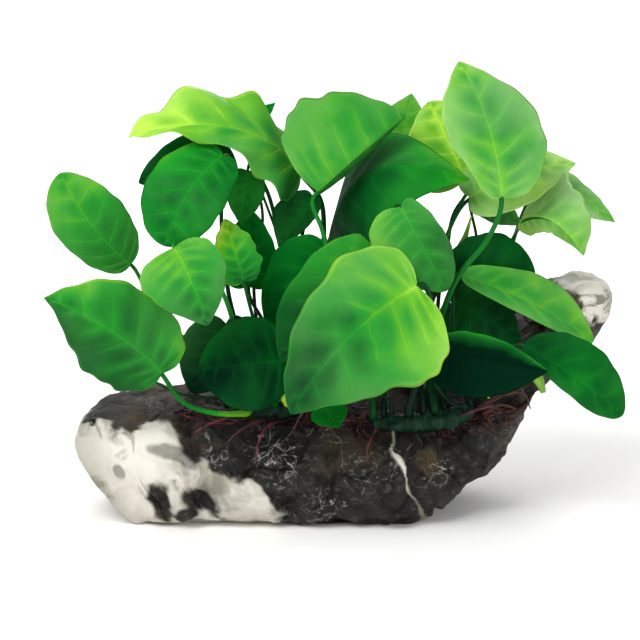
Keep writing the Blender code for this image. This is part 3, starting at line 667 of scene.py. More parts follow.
# ---------------------------------------------------------------- stone
STONE_ROWS = 350
STONE_RING = 252
SECTION = (42.0, 26.0)      # half depth and half height of the section that spaces the ring
FACET_SIZE = 17.0
FACET_SEAM = 0.3            # share of a facet over which it drops to the crack at its border
QUARTZ_CALM = 0.6           # how much of the broken relief is missing on quartz
SEAM_WARP = 0.011           # how far the white seams wander, in metres
STONE_RELIEF = 1.1          # height of the slow swells that the solid has too
CAP_STEPS = (0.75, 0.45, 0.15, 0.004)       # how the ends close, as shares of the last ring
SLANT = ((0.9, 0.0, -0.45), (0.0, 0.8, 0.0), (0.35, 0.0, 0.6))  # draws the facets out, leaning

# Where the white quartz begins on the front, lower left: (x, upper edge z)
QUARTZ_EDGE = ((-110, 44), (-93, 43.5), (-85, 43), (-81, 41), (-74, 44), (-65, 42.5),
               (-61, 38.6), (-53, 32), (-47, 28), (-35, 24.5), (-30, 23), (-24, 18.5),
               (-21, 12), (-18, 9))
# Where white cracks crowd together: (x, z, half length, half height, lean in degrees)
CRACKED = ((-18, 33, 13, 9, -20), (2, 9, 8, 6, 40), (50, 26, 7, 6, 0))
# Rock showing through the quartz: (x, z, half length, half height, lean in degrees, how dark)
QUARTZ_HOLES = ((-68, 13, 4.5, 8, 24, 1), (-50, 13, 11, 4.2, -40, 1), (-57, 7, 5, 3, 0, 1),
                (-62, 34, 11, 2.6, -18, 0.55), (-86, 26, 2, 3, 30, 0.5))
# The thin quartz vein on the right: (z, x)
QUARTZ_VEIN = ((0, 45), (7, 43.7), (10, 42), (17, 38.7), (24, 36.6), (33, 32.4), (39, 31),
               (47, 30.7), (60, 29))


def ring_angles(count):
    """Angles of a rounded-box outline that step evenly along it, found by its arc length."""
    v = np.linspace(0, TAU, 6001)
    wide, high = SECTION
    outline = np.stack([wide * box_power(-np.cos(v)), high * box_power(np.sin(v))], axis=1)
    run = np.concatenate([[0], np.cumsum(np.linalg.norm(np.diff(outline, axis=0), axis=1))])
    return np.interp((np.arange(count) + 0.5) / count * run[-1], run, v)


def box_power(x):
    """A cosine or sine flattened towards its ends, which squares a circle."""
    return np.sign(x) * np.abs(x) ** STONE_CORNER


def stone_body(x, v):
    """Points of the stone at x (mm) and ring angle v: a rounded box between the stations'
    limits, whose front upper edge falls to the lip, swollen by a few slow sines."""
    stations = np.array(STONE_STATIONS, float)
    low, high, front, back, fall = (np.interp(x, stations[:, 0], c) for c in stations.T[1:])
    depth, height = box_power(-np.cos(v)), box_power(np.sin(v))
    middle, half = (front + back) / 2, (back - front) / 2
    y = middle + half * depth
    z = (low + high) / 2 + (high - low) / 2 * height
    z = z - fall * np.clip(height, 0, 1) * np.clip(-depth, 0, 1) ** 1.5
    relief = (np.sin(x * 0.21 + z * 0.12 + 1.0) + np.sin(x * 0.37 - y * 0.18 + 2.0)
              + np.abs(np.sin(x * 0.11 + y * 0.09 + z * 0.17)) * 1.6 - 1.0)
    grow = 1 + STONE_RELIEF * np.clip((high - low) / 50, 0, 1) * relief / 45
    y = middle + (y - middle) * grow
    centre = (low + high) / 2
    z = np.where(z > centre, centre + (z - centre) * grow, z)
    return np.stack(np.broadcast_arrays(x, y, z), axis=-1)


def facets(p, size, seed, seam):
    """Broken facets: each scattered cell is a plane with its own tilt, which drops to nothing
    across a seam at the cell's borders."""
    near, second, owner, offset = cells(p / size, seed)
    tilt = np.stack([hashed(owner, seed + k) for k in (11, 12, 13)], axis=-1) * 2 - 1
    level = hashed(owner, seed + 17) - 0.5
    inside = smooth(0.0, seam, second - near)
    return (np.sum(tilt * offset, axis=-1) + 0.5 * level) * inside * size


def ellipse(x, z, place, rough):
    """1 inside a leaning ellipse, 0 outside, with rough added to its measure of distance."""
    cx, cz, long, short, lean = place[:5]
    c, s = math.cos(math.radians(lean)), math.sin(math.radians(lean))
    u, w = (x - cx) * c + (z - cz) * s, (z - cz) * c - (x - cx) * s
    return smooth(1.25, 0.8, np.hypot(u / long, w / short) + rough)


def quartz_mask(p):
    """1 on white quartz: the lower left of the front, a thin vein on the right, the tip of the
    horn, and patches on the back."""
    x, y, z = p[..., 0], p[..., 1], p[..., 2]
    rough = fbm(p / 7.0, 4, 41)
    edge = np.interp(x, *np.array(QUARTZ_EDGE, float).T)
    band = smooth(-1.2, 1.2, edge - z + rough * 2.6) * smooth(-14, -21, x + rough * 3)
    band = band * smooth(8, -6, y + rough * 8)
    for hole in QUARTZ_HOLES:
        band = band * (1 - hole[5] * ellipse(x, z, hole, rough * 0.45))
    line = np.interp(z, *np.array(QUARTZ_VEIN, float).T) + noise(p / 5.0, 43) * 1.6
    wide = np.interp(z, (0, 20, 47), (2.4, 1.3, 0.7)) * (1 + 0.5 * noise(p / 6.0, 44))
    vein = smooth(1.0, 0.5, np.abs(x - line) / np.maximum(wide, 0.2)) * smooth(20, 0, y)
    tip = smooth(-2, 3, (x - 111) * 0.6 + (z - 90) + rough * 7)
    back = smooth(0.35, 0.5, noise(p / 26.0, 45) + rough * 0.25) * smooth(10, 25, y)
    return np.clip(np.maximum.reduce([band, vein, tip, back]), 0, 1)


def brown_mask(p):
    """1 on stained rock: the left shoulder, a spot by the vein, the horn and some patches."""
    x, y, z = p[..., 0], p[..., 1], p[..., 2]
    rough = fbm(p / 8.0, 3, 51)
    left = smooth(-90, -80, x) * smooth(-44, -52, x) * smooth(33, 38, z)
    spot = ellipse(x, z, (46, 30, 4, 6, 10), rough * 0.3) * smooth(0, -10, y)
    horn = smooth(76, 84, x) * 0.85
    patches = smooth(0.25, 0.6, noise(p / 17.0, 52)) * 0.45
    return np.clip(np.maximum.reduce([left * (0.75 + rough * 0.5), spot, horn * (0.8 + rough * 0.5),
                                      patches]), 0, 1)


def crack_mask(p):
    """1 where the white cracks crowd together: two places on the middle of the front, and
    weaker spots about the stone."""
    x, z = p[..., 0], p[..., 2]
    rough = fbm(p / 9.0, 3, 54)
    places = [ellipse(x, z, place, rough * 0.5) for place in CRACKED]
    strewn = 0.5 * smooth(0.3, 0.6, noise(p / 15.0, 55))
    return np.clip(np.maximum.reduce(places + [strewn]), 0, 1)


def stone_surface(relief):
    """The stone's points (rows along X, points round each), its finish masks and relief.

    Every point of the smooth body moves along its normal by two sizes of facets, slow swells
    and fine grain; quartz stands a little proud and is rounder.  The underside is ground flat.
    """
    ends = STONE_STATIONS[0][0], STONE_STATIONS[-1][0]
    t = np.linspace(0, 1, STONE_ROWS)
    x = ends[0] + (ends[1] - ends[0]) * (t - 0.06 * np.sin(TAU * t) / 2)
    body = stone_body(x[:, None], ring_angles(STONE_RING)[None, :])
    along = np.gradient(body, axis=0)
    around = np.roll(body, -1, axis=1) - np.roll(body, 1, axis=1)
    normal = unit(np.cross(around, along))
    normal = unit(normal * 3 + np.roll(normal, 1, axis=1) + np.roll(normal, -1, axis=1))
    outward = np.sign(np.sum(normal * (body - body.mean(axis=1, keepdims=True)), axis=-1))
    normal = normal * np.median(outward)
    warped = body + 3.0 * np.stack([noise(body / 14.0, k) for k in (61, 62, 63)], axis=-1)
    slanted = warped @ np.array(SLANT)
    quartz = quartz_mask(body)

    def ridges(size, seed):
        return 0.35 - np.abs(noise(slanted / size, seed))

    coarse = facets(slanted, FACET_SIZE, 71, FACET_SEAM) * 0.26
    edges = 1.5 * ridges(15.0, 72) + 0.7 * ridges(6.5, 78)
    chips = 0.35 * ridges(2.4, 77)
    grain = fbm(body / 1.6, 2, 73) * 0.07
    cut = -1.0 * smooth(0.05, 0.0, np.abs(noise(slanted / 17.0, 74)))
    broken = coarse + edges + chips + grain
    lift = broken * (1 - QUARTZ_CALM * quartz) + cut * (1 - 0.8 * quartz)
    lift = lift + 1.4 * fbm(body / 26.0, 2, 75) + quartz * (0.9 + 0.6 * fbm(body / 9.0, 2, 76))
    size = np.clip((body[..., 2].max(axis=1) - body[..., 2].min(axis=1)) / 30, 0.15, 1)
    points = body + normal * (lift * relief * size[:, None])[..., None]
    points[..., 2] = np.where(body[..., 2] < FLAT_BELOW, 0.0, np.maximum(points[..., 2], 0.0))
    relief_map = np.clip(0.5 + (edges + 1.4 * chips + grain + 0.8 * cut) * 0.45, 0, 1)
    return points, {"quartz": quartz, "brown": brown_mask(body), "height": relief_map,
                    "cracks": crack_mask(body)}


def close_ends(grid):
    """Adds rings that draw each end of a loft together."""
    shares = np.array(CAP_STEPS)[:, None, None]
    start, end = (ring.mean(axis=0) + (ring - ring.mean(axis=0)) * shares
                  for ring in (grid[0], grid[-1]))
    return np.concatenate([start[::-1], grid, end])


def darker(colour, share):
    """A colour with each channel brought down to a share of itself."""
    return tuple(c * share for c in colour)


def white_web(n, where, fine):
    """Thin white seams, the borders of large warped cells, with finer ones and grains where the
    cracks crowd together."""
    scatter = n.fed("ShaderNodeTexNoise", {"Vector": where, "Scale": 70.0}).outputs["Color"]
    warped = n.fed("ShaderNodeVectorMath", {0: scatter, 1: (SEAM_WARP,) * 3, 2: where},
                   operation="MULTIPLY_ADD").outputs[0]
    seam, hair = n.borders(warped, 62.0), n.borders(warped, 170.0)
    crowd = n.attribute("cracks")
    strewn = n.step(n.noise(where, 42.0), 0.54, 0.68, 0.0, 0.6)
    web = n.times(n.step(seam, 0.018, 0.002), n.math("MAXIMUM", strewn, crowd))
    fine_web = n.times(n.times(n.step(hair, 0.03, 0.0), crowd), 0.6)
    web = n.times(n.math("MAXIMUM", web, fine_web), n.step(fine, 0.42, 0.56))
    grains = n.times(n.step(n.noise(where, 520.0), 0.62, 0.68), crowd)
    return n.math("MAXIMUM", web, n.times(grains, 0.7))


def quartz_wear_and_shade(n, where, fine):
    """How dull the quartz is: darker towards the stone's left end and foot as painted shade,
    and worn in clouds and in streaks on the horn."""
    cloud = n.noise(where, 34.0, 5.0, 0.6, 0.5)
    axes = n.fed("ShaderNodeSeparateXYZ", {0: where}).outputs
    # painted shade: the quartz darkens towards the stone's left end and towards its foot
    outer = n.step(axes["X"], -0.075, -0.106, 0.0, 0.7)
    low = n.step(axes["Z"], 0.035, 0.0, 0.0, 0.4)
    worn_and_shaded = n.add(n.add(outer, low), n.step(cloud, 0.42, 0.7, -0.2, 0.8))
    worn_and_shaded = n.math("MAXIMUM", n.add(worn_and_shaded, n.step(fine, 0.52, 0.7, 0.0, 0.25)), 0.0)
    drawn = n.fed("ShaderNodeVectorMath", {0: where, 1: (60.0, 60.0, 220.0)},
                  operation="MULTIPLY").outputs[0]
    streak = n.noise(drawn, 1.0, 4.0, 0.6, 0.5)
    horn = n.times(n.step(axes["X"], 0.095, 0.104), n.step(streak, 0.5, 0.66))
    return n.math("MINIMUM", n.add(worn_and_shaded, horn), 0.95)


def stone_material(look):
    """Stone: dark and grey rock with flecks, brown stains and a white web, darker in the hollows of
    its relief as painted shade, and quartz worn in clouds and streaks and darkened by painted shade
    towards its left end, its foot and its hollows.
    """
    mat, n, shader = new_material("stone", 0.72, Specular_IOR_Level=0.22)
    where = n.place()
    quartz, brown, height = (n.attribute(k) for k in ("quartz", "brown", "height"))
    blotch = n.noise(where, 55.0, 5.0, 0.62, 0.6)
    speck = n.noise(where, 900.0, 4.0, 0.6)
    fine = n.noise(where, 260.0, 9.0, 0.78, 0.5)
    # painted shade: the rock is darker where the relief is low, in its hollows, over random
    # blotches
    value = n.add(n.times(blotch, 0.62), n.times(height, 0.5))
    value = n.add(value, n.centred(speck, 0.3))
    rock = n.mix(n.step(value, 0.32, 0.9), look.dark, look.grey)
    rock = n.mix(n.step(fine, 0.5, 0.72, 0.0, 0.75), rock, look.fleck)
    rock = n.mix(n.step(fine, 0.46, 0.34, 0.0, 0.85), rock, darker(look.dark, 0.3))
    stain = n.mix(n.step(speck, 0.35, 0.7), look.brown, darker(look.brown, 0.35))
    rock = n.mix(n.times(brown, n.step(blotch, 0.3, 0.62)), rock, stain)
    rock = n.mix(white_web(n, where, fine), rock, darker(look.quartz, 0.7))
    white = n.mix(quartz_wear_and_shade(n, where, fine), look.quartz, look.worn_and_shaded)
    # painted shade: the quartz dulls where the relief is low, in its hollows
    white = n.mix(n.step(height, 0.3, 0.05, 0.0, 0.6), white, look.worn_and_shaded)
    n.feed(shader.inputs["Base Color"], n.mix(quartz, rock, white))
    n.feed(shader.inputs["Roughness"], n.step(blotch, 0.35, 0.65, 0.32, 0.6))
    depth = n.mix(quartz, (1.0,) * 3, (0.3,) * 3)
    n.feed(shader.inputs["Normal"], n.bump(n.times(fine, depth), 1.0, 0.0022))
    return mat


# ---------------------------------------------------------------- leaves
BLADE_START = 0.03          # the blade's first and last ring, as angles along its margin
BLADE_STOP = math.pi - 0.012
KEEL_REACH = 0.72           # how far the petiole runs on under the midrib
KEEL_DEPTH = 0.45           # how deep the keel's back lies under the blade's middle
STRAIGHT_FOOT = 2.5         # length of petiole that stands square on the rhizome
FOOT_CLEAR = 0.9            # gap between the rhizome's skin and that length
NECK = (2.5, 2.0)           # the petiole's last bend: behind the blade's base, and below it
BASE_BELOW = 1.2            # how far under the blade's base the petiole ends
KEEL_SHARE = 0.62           # radius of the keel's start, as a share of the petiole's
KEEL_LAST = 0.12            # radius of its end


def midrib(leaf, a):
    """Point, tangent, right side and upper normal of the midrib at a (0 base, 1 tip): a
    quadratic arc whose middle is pushed arch upwards and bend to the right."""
    base, tip = np.array(leaf.base, float), np.array(leaf.tip, float)
    along = unit(tip - base)
    face = np.array(leaf.face, float)
    up = unit(face - along * face.dot(along))
    side = np.cross(along, up)
    knee = (base + tip) / 2 + 2 * leaf.arch * up + 2 * leaf.bend * side
    a = np.asarray(a, float)[..., None]
    c = np.clip(a, 0.0, 1.0)
    tangent = 2 * (1 - c) * (knee - base) + 2 * c * (tip - knee)
    point = (1 - c) ** 2 * base + 2 * c * (1 - c) * knee + c * c * tip
    point = point + np.minimum(a, 0.0) * tangent
    tangent = unit(tangent)
    normal = unit(up - tangent * (tangent @ up)[..., None])
    return point, tangent, np.cross(tangent, normal), normal


def margin_width(leaf, theta):
    """Half width of the blade at theta, with its widest place at 1."""
    u = (1 - np.cos(theta)) / 2
    return np.sin(theta) * (1 + leaf.belly * np.cos(theta)) * (1 - leaf.point * u ** 5)


def fullness(edge, theta, ragged, phase):
    """Share of the even width that the margin has at theta: a smooth curve through edge, with
    low uneven waves, 0.014 ragged (sin(9 theta + phase) + 0.8 sin(16 theta + 2 phase))."""
    waves = np.sin(9 * theta + phase) + 0.8 * np.sin(16 * theta + 2 * phase)
    uneven = 1 + 0.014 * ragged * waves
    if not edge:
        return uneven
    curve = spline(list(zip(EDGE_PLACES, edge)), 61)
    return np.interp(theta, curve[:, 0], curve[:, 1]) * uneven


def blade_grid(leaf, rows, columns):
    """Middle surface of a blade, its upper normals, theta, s and the place a along it.

    theta runs from the notch to the tip along the margin and s from the left margin (-1) over
    the midrib to the right (1).  With u = (1 - cos theta) / 2 the margin stands at
    a = -lobe + (1 + lobe) u + lobe (1 - theta / 0.7)^2, and the side veins leave the midrib at
    a = u^2 and sweep towards the tip.  Across, the half blade is a line whose slope is its
    lift plus the cup times s^2; the line's cosine and sine are summed outwards.  The midrib is
    creased, low ripples stand between the side veins and waves run along the margin.
    """
    theta = np.linspace(BLADE_START, BLADE_STOP, rows)[:, None]
    side = np.linspace(0, 1, columns)[None, :]
    u = (1 - np.cos(theta)) / 2
    margin = -leaf.lobe + (1 + leaf.lobe) * u + leaf.lobe * np.clip(1 - theta / 0.7, 0, 1) ** 2
    widest = margin_width(leaf, np.linspace(0, math.pi, 181)).max()
    rib = u ** 2.0
    a = rib + (margin - rib) * side ** 1.3
    halves = []
    for sign, lift, edge, late, shift in (
            (-1, leaf.left, leaf.edge_left, 0.0, 0.0),
            (1, leaf.right, leaf.edge_right, WAVE_LATE, VEIN_SHIFT)):
        half = leaf.width / 2 * margin_width(leaf, theta) / widest * (1 + sign * leaf.skew)
        half = half * fullness(edge, theta, leaf.ragged, leaf.base[2] * 7 + sign)
        slope = np.radians(between(u, lift)) + np.radians(CUP) * side ** 2
        middle = (slope[:, 1:] + slope[:, :-1]) / 2
        across, rise = (
            half * np.concatenate([np.zeros((rows, 1)), np.cumsum(part, axis=1) * side[0, 1]],
                                  axis=1) for part in (np.cos(middle), np.sin(middle)))
        rise = rise + leaf.wave * side ** 2.5 * np.sin(theta) * np.sin(
            2 * leaf.waves * theta + late)
        ripple = np.abs(np.sin(math.pi * (theta / math.pi * VEIN_COUNT + shift))) - 0.5
        rise = rise + leaf.quilt * ripple * smooth(0.04, 0.3, side) * smooth(1.05, 0.6, side)
        rise = rise - CREASE * np.exp(-(side * half / CREASE_HALF) ** 2) * np.sin(theta)
        point, _, right, normal = midrib(leaf, a)
        halves.append(point + right * (sign * across)[..., None] + normal * rise[..., None])
    points = np.concatenate([halves[0][:, :0:-1], halves[1]], axis=1)
    s = np.concatenate([-side[0, :0:-1], side[0]])[None, :] + 0 * theta
    place = np.concatenate([a[:, :0:-1], a], axis=1)
    up = unit(np.cross(np.gradient(points, axis=1), np.gradient(points, axis=0)))
    facing = midrib(leaf, np.array([0.5]))[3][0]
    if np.median(up @ facing) < 0:
        up = -up
    return points, up, theta + 0 * s, s, place


def blade_shell(leaf, look):
    """A closed shell round the blade's middle surface: upper side out, round the margin and
    back along the underside, thinner towards the margin and the tip."""
    points, up, theta, s, place = blade_grid(leaf, look.rows, (look.columns + 1) // 2)
    half = look.thickness / MM / 2 * (1 - 0.55 * np.abs(s) ** 3)
    half = half * (1 - 0.5 * (theta / math.pi) ** 4) * (np.abs(s) < 0.999)
    lift = up * half[..., None]
    # the leaf's own green plus painted light and shade: lighter where the leaf is lit, darker on
    # shaded leaves and halves
    base, tip, left, right = leaf.glow
    glow = base + (tip - base) * np.clip(place, 0, 1)
    glow = glow + (left * np.clip(-s, 0, 1) ** 1.6 + right * np.clip(s, 0, 1) ** 1.6)
    # painted sheen, strongest towards the margins
    haze = leaf.haze * (0.45 + 0.55 * np.abs(s) ** 1.5)
    uv = np.stack([(s + 1) / 2, theta / math.pi], axis=-1)

    def wrap(above, below):
        return np.concatenate([above, below[:, -2:0:-1]], axis=1)

    layers = {"glow": wrap(glow, glow), "haze": wrap(haze, haze), "under": wrap(0 * s, 1 + 0 * s)}
    return wrap(points + lift, points - lift), wrap(uv, uv), layers


def petiole_path(leaf, count):
    """Centre line of the petiole from inside the rhizome to the blade's base."""
    _, tangent, _, normal = midrib(leaf, np.array([0.0]))
    neck = np.array(leaf.base) - tangent[0] * NECK[0] - normal[0] * NECK[1]
    rises = list(leaf.via) + [neck, np.array(leaf.base) - normal[0] * BASE_BELOW]
    axis, radii = RHIZOMES[leaf.rhizome]
    line = spline(axis, 101)
    place = line[round(leaf.at * 100)]
    along = unit(np.gradient(line, axis=0))[round(leaf.at * 100)]
    radius = between(leaf.at, radii)
    lean = np.array(rises[0]) - place
    lean = unit(lean - along * along.dot(lean))
    foot = place + lean * (radius + FOOT_CLEAR)
    stem = spline([foot, foot + lean * STRAIGHT_FOOT] + rises, count)
    stem[0] = place + lean * radius * 0.5
    return stem


def petiole_shell(leaf, rows=44, around=12):
    """A stem swollen at its foot that thins to the blade and runs on as the keel under the
    midrib."""
    stem = petiole_path(leaf, rows)
    a = np.linspace(0.03, KEEL_REACH, rows // 2)
    keel, _, _, normal = midrib(leaf, a)
    radius_keel = leaf.stalk * KEEL_SHARE * (1 - a / KEEL_REACH) + KEEL_LAST
    keel = keel - normal * (KEEL_DEPTH + radius_keel * 0.9)[:, None]
    path = relaxed(np.concatenate([stem, keel]))
    t = np.linspace(0, 1, rows)
    radius = leaf.stalk * (0.85 + 0.35 * np.exp(-(t / 0.1) ** 2) - 0.22 * t)
    radius = np.concatenate([radius, radius_keel])
    ring = spokes(path, midrib(leaf, np.array([0.0]))[2][0], around)
    points = path[:, None] + ring * radius[:, None, None]
    tall = np.concatenate([t, np.ones(len(a))])[:, None] + 0 * points[..., 0]
    turn = np.linspace(0, 1, around, endpoint=False)[None, :] + 0 * tall
    uv = np.stack([turn, tall], axis=-1)
    # the foot: darker with painted shade on most petioles, paler on a real sheath
    foot = leaf.sheath_and_shade * smooth(0.55, 0.1, tall)
    return points, uv, {"glow": leaf.stem + foot, "haze": 0 * tall}


def vein_group():
    """Node group: masks of the midrib, side veins and their finer branches, from the UV map.

    U runs across the blade and V along the side veins' order, so a side vein is a line of
    constant V on each side of the midrib."""
    tree, source, sink = new_group(
        "leaf_veins", {"Count": VEIN_COUNT, "Shift": VEIN_SHIFT, "Waver": 0.22},
        ("Vein", "Fine", "Midrib", "Band", "Margin"))
    n = Nodes(tree)
    uv = n.fed("ShaderNodeSeparateXYZ",
               {0: n.node("ShaderNodeUVMap", uv_map="UVMap").outputs[0]})
    across = n.math("SUBTRACT", n.times(uv.outputs[0], 2.0), 1.0)
    side = n.math("ABSOLUTE", across)
    on_right = n.math("GREATER_THAN", across, 0.0)
    wander = n.centred(n.noise(n.place(), 90.0), source.outputs["Waver"])
    order = n.times(uv.outputs[1], source.outputs["Count"])
    order = n.add(order, n.times(on_right, source.outputs["Shift"]))
    order = n.add(order, wander)
    away = n.math("PINGPONG", order, 0.5)
    vein = n.step(away, n.step(side, 0.0, 1.0, 0.13, 0.07), 0.0)
    vein = n.times(vein, n.step(side, 0.95, 0.4))
    band = n.times(n.step(away, 0.0, 0.5), n.step(side, 0.0, 0.25))
    band = n.times(band, n.step(side, 0.9, 0.25))
    fine = n.step(n.math("PINGPONG", n.times(order, 5.0), 0.5), 0.22, 0.0)
    fine = n.times(fine, n.step(side, 1.0, 0.85))
    width = n.step(uv.outputs[1], 0.2, 1.0, 0.05, 0.018)
    midrib_mask = n.math("SUBTRACT", 1.0, n.math("DIVIDE", side, width), clamp=True)
    for key, value in (("Vein", vein), ("Fine", fine), ("Midrib", midrib_mask),
                       ("Band", band), ("Margin", n.step(side, 0.93, 1.0))):
        n.feed(sink.inputs[key], value)
    return tree


def green_ramp(n, value, look):
    """The plant's greens from the darkest shade to lime."""
    ramp = n.node("ShaderNodeValToRGB")
    stops = ((0.0, look.shade), (0.28, look.deep), (0.55, look.fresh), (0.78, look.bright),
             (1.0, look.lime))
    while len(ramp.color_ramp.elements) < len(stops):
        ramp.color_ramp.elements.new(0.5)
    for element, (place, colour) in zip(ramp.color_ramp.elements, stops):
        element.position = place
        element.color = (*colour, 1.0)
    n.feed(ramp.inputs[0], value)
    return ramp.outputs["Color"]


# The three leaf skins: light of the veins, dark of the bands, light of the margin, and shine
TONES = {
    "pale": (0.05, 0.13, 0.2, 0.08),
    "mid": (0.045, 0.08, 0.06, 0.05),
    "dark": (0.035, 0.05, 0.04, 0.015),
}


def leaf_material(name, look, veins, vein_light, dark_bands, rim_light, shine):
    """Leaf skin: glow picks the green, the leaf's own green with painted light and shade, and a
    painted sheen greys it in patches; veins are a little lighter and sunken with darker bands
    between them near the midrib, and the underside is paler."""
    mat, n, shader = new_material(name, 0.45, Specular_IOR_Level=shine)
    where = n.place()
    mask = n.node("ShaderNodeGroup", node_tree=veins).outputs
    glow, haze, under = (n.attribute(key) for key in ("glow", "haze", "under"))
    cloud = n.centred(n.noise(where, 30.0, 3.0, 0.5, 0.4), 0.7)
    grain = n.centred(n.noise(where, 620.0, 4.0, 0.6), 0.07)
    value = n.add(n.add(glow, cloud), grain)
    value = n.add(value, n.times(mask["Vein"], vein_light))
    value = n.add(value, n.times(mask["Midrib"], vein_light * 1.8))
    value = n.math("SUBTRACT", value, n.times(mask["Band"], dark_bands))
    value = n.add(value, n.times(mask["Margin"], rim_light))
    colour = green_ramp(n, value, look)
    # painted sheen: patches of pale grey-green laid over the green, more towards the margins
    patch = n.step(n.noise(where, 38.0, 4.0, 0.55, 0.4), 0.34, 0.62, 0.35, 1.0)
    grey = n.mix(value, look.sheen_dark, look.sheen_light)
    colour = n.mix(n.times(haze, patch), colour, grey)
    colour = n.mix(n.times(under, 0.22), colour, darker(look.bright, 0.7))
    n.feed(shader.inputs["Base Color"], colour)
    n.feed(shader.inputs["Roughness"], n.step(n.noise(where, 240.0), 0.3, 0.7, 0.4, 0.55))
    height = n.math("SUBTRACT", n.times(n.noise(where, 420.0), 0.4),
                    n.add(n.times(mask["Vein"], 0.45),
                           n.times(mask["Fine"], 0.07)))
    n.feed(shader.inputs["Normal"], n.bump(height, 0.5, 0.0005))
    return mat


def stem_material(look):
    """Petiole skin: green from glow, with painted shade darkening the foot of most petioles and a
    real paler, yellower sheath at the foot of one.
    """
    mat, n, shader = new_material("petiole", 0.42, Specular_IOR_Level=0.12)
    where = n.place()
    value = n.add(n.attribute("glow"), n.centred(n.noise(where, 160.0), 0.25))
    n.feed(shader.inputs["Base Color"], green_ramp(n, value, look))
    n.feed(shader.inputs["Normal"], n.bump(n.noise(where, 600.0), 0.3, 0.0004))
    return mat


# ---------------------------------------------------------------- rhizomes, roots and buds
SCAR_WIDTH = 0.16           # of a leaf scar, as a share of the step between scars
LIP_Y = -38                 # where the stone's top turns down at the front
FRONT_Y = -44               # and its front face
TOP_Z = 50                  # height that fine roots start from before they settle
ROOT_LENGTH = (8, 26)       # shortest and longest fine root
ROOT_RADIUS = (0.16, 0.4)
ROOT_TAPER = (0.8, 0.65, 0.5, 0.25)         # a main root's radii along it, as shares of its own
ROOT_ARCH = 2.8             # highest that one arches off the stone


def rhizome_shell(axis, radii, seed):
    """A stem with a ridge at every leaf scar: the radius swells where a sawtooth along the
    stem ends, and low noise makes it uneven.  Its ends are drawn together."""
    rows, around = 110, 28
    path = spline(axis, rows)
    t = np.linspace(0, 1, rows)
    run = np.linalg.norm(np.diff(path, axis=0), axis=1).sum()
    saw = (t * run / RIDGE_STEP) % 1.0
    ridge = np.exp(-((saw - 0.5) / SCAR_WIDTH) ** 2)
    rounded = np.sqrt(np.clip(1 - (2 * t - 1) ** 16, 0.02, 1))
    radius = between(t, radii) * (0.92 + 0.1 * ridge) * rounded
    ring = spokes(path, (0.0, 0.2, 1.0), around)
    uneven = 1 + 0.2 * fbm(path[:, None] / 5.0 + ring * 1.1, 3, seed)[..., None]
    points = path[:, None] + ring * radius[:, None, None] * uneven
    return points, {"ridge": np.broadcast_to(ridge[:, None], points.shape[:2])}


class StoneSurface:
    """Finds the stone's surface above a place, so that roots can lie on it."""

    def __init__(self, points):
        self.points = points
        self.x = points[:, :, 0].mean(axis=1)

    def drop(self, path, lift):
        """Moves each point of path out to the stone's section at its x, lift above it."""
        rows = np.clip(np.searchsorted(self.x, path[:, 0]), 0, len(self.x) - 1)
        sections = self.points[rows]
        centre = sections.mean(axis=1)
        centre[:, 2] -= 6
        ray = path - centre
        bearing = np.arctan2(ray[:, 2], ray[:, 1])
        spokes = sections - centre[:, None]
        bearings = np.arctan2(spokes[..., 2], spokes[..., 1])
        miss = np.abs((bearings - bearing[:, None] + math.pi) % TAU - math.pi)
        near = np.argmin(miss, axis=1)
        skin = sections[np.arange(len(path)), near]
        return skin + unit(skin - centre) * lift[:, None]


def fine_roots(cluster, look, surface):
    """Strands of one cluster, joined: each wanders over the stone from the rhizome and hangs
    over its lip, thinning to a point, with its own tint."""
    x0, y0, spread = cluster
    rng = np.random.default_rng(look.seed + int(abs(x0)))
    strands, rows, around = [], 26, 5
    for _ in range(look.strands):
        start = np.array([x0 + rng.random() * spread, y0 + rng.normal() * 3.0])
        length = rng.uniform(*ROOT_LENGTH)
        heading = rng.normal(-math.pi / 2, 0.75)
        t = np.linspace(0, 1, rows)
        turn = heading + 1.3 * np.sin(t * rng.uniform(2, 7) + rng.uniform(0, TAU))
        step = length / rows
        plan = start + np.cumsum(np.stack([np.cos(turn), np.sin(turn)], axis=1) * step, axis=0)
        over = np.maximum(LIP_Y - plan[:, 1], 0)
        line = np.stack([plan[:, 0], np.maximum(plan[:, 1], FRONT_Y), TOP_Z - over * 1.1], axis=1)
        radius = rng.uniform(*ROOT_RADIUS)
        arch = np.sin(t * math.pi) * rng.uniform(0, ROOT_ARCH)
        path = surface.drop(line, radius * 0.5 + arch)
        for _ in range(3):
            path = relaxed(path)
        ring = spokes(path, (0.4, 0.3, 1.0), around)
        thin = (radius * (1 - 0.8 * t ** 2))[:, None, None]
        strands.append((path[:, None] + ring * thin, np.full((rows, around), rng.random())))
    return strands


def root_material(look):
    """Root skin: magenta to rust by strand, blotched and finely ringed."""
    mat, n, shader = new_material("root", 0.45, Specular_IOR_Level=0.25)
    where = n.place()
    blotch = n.noise(where, 260.0, 4.0)
    tint = n.add(n.attribute("tint"), n.math("SUBTRACT", blotch, 0.5))
    colour = n.mix(n.step(tint, 0.15, 0.85), look.magenta, look.rust)
    colour = n.mix(n.step(blotch, 0.64, 0.4), colour, (0.02, 0.008, 0.008))
    n.feed(shader.inputs["Base Color"], colour)
    n.feed(shader.inputs["Normal"], n.bump(n.noise(where, 900.0), 0.5, 0.0004))
    return mat


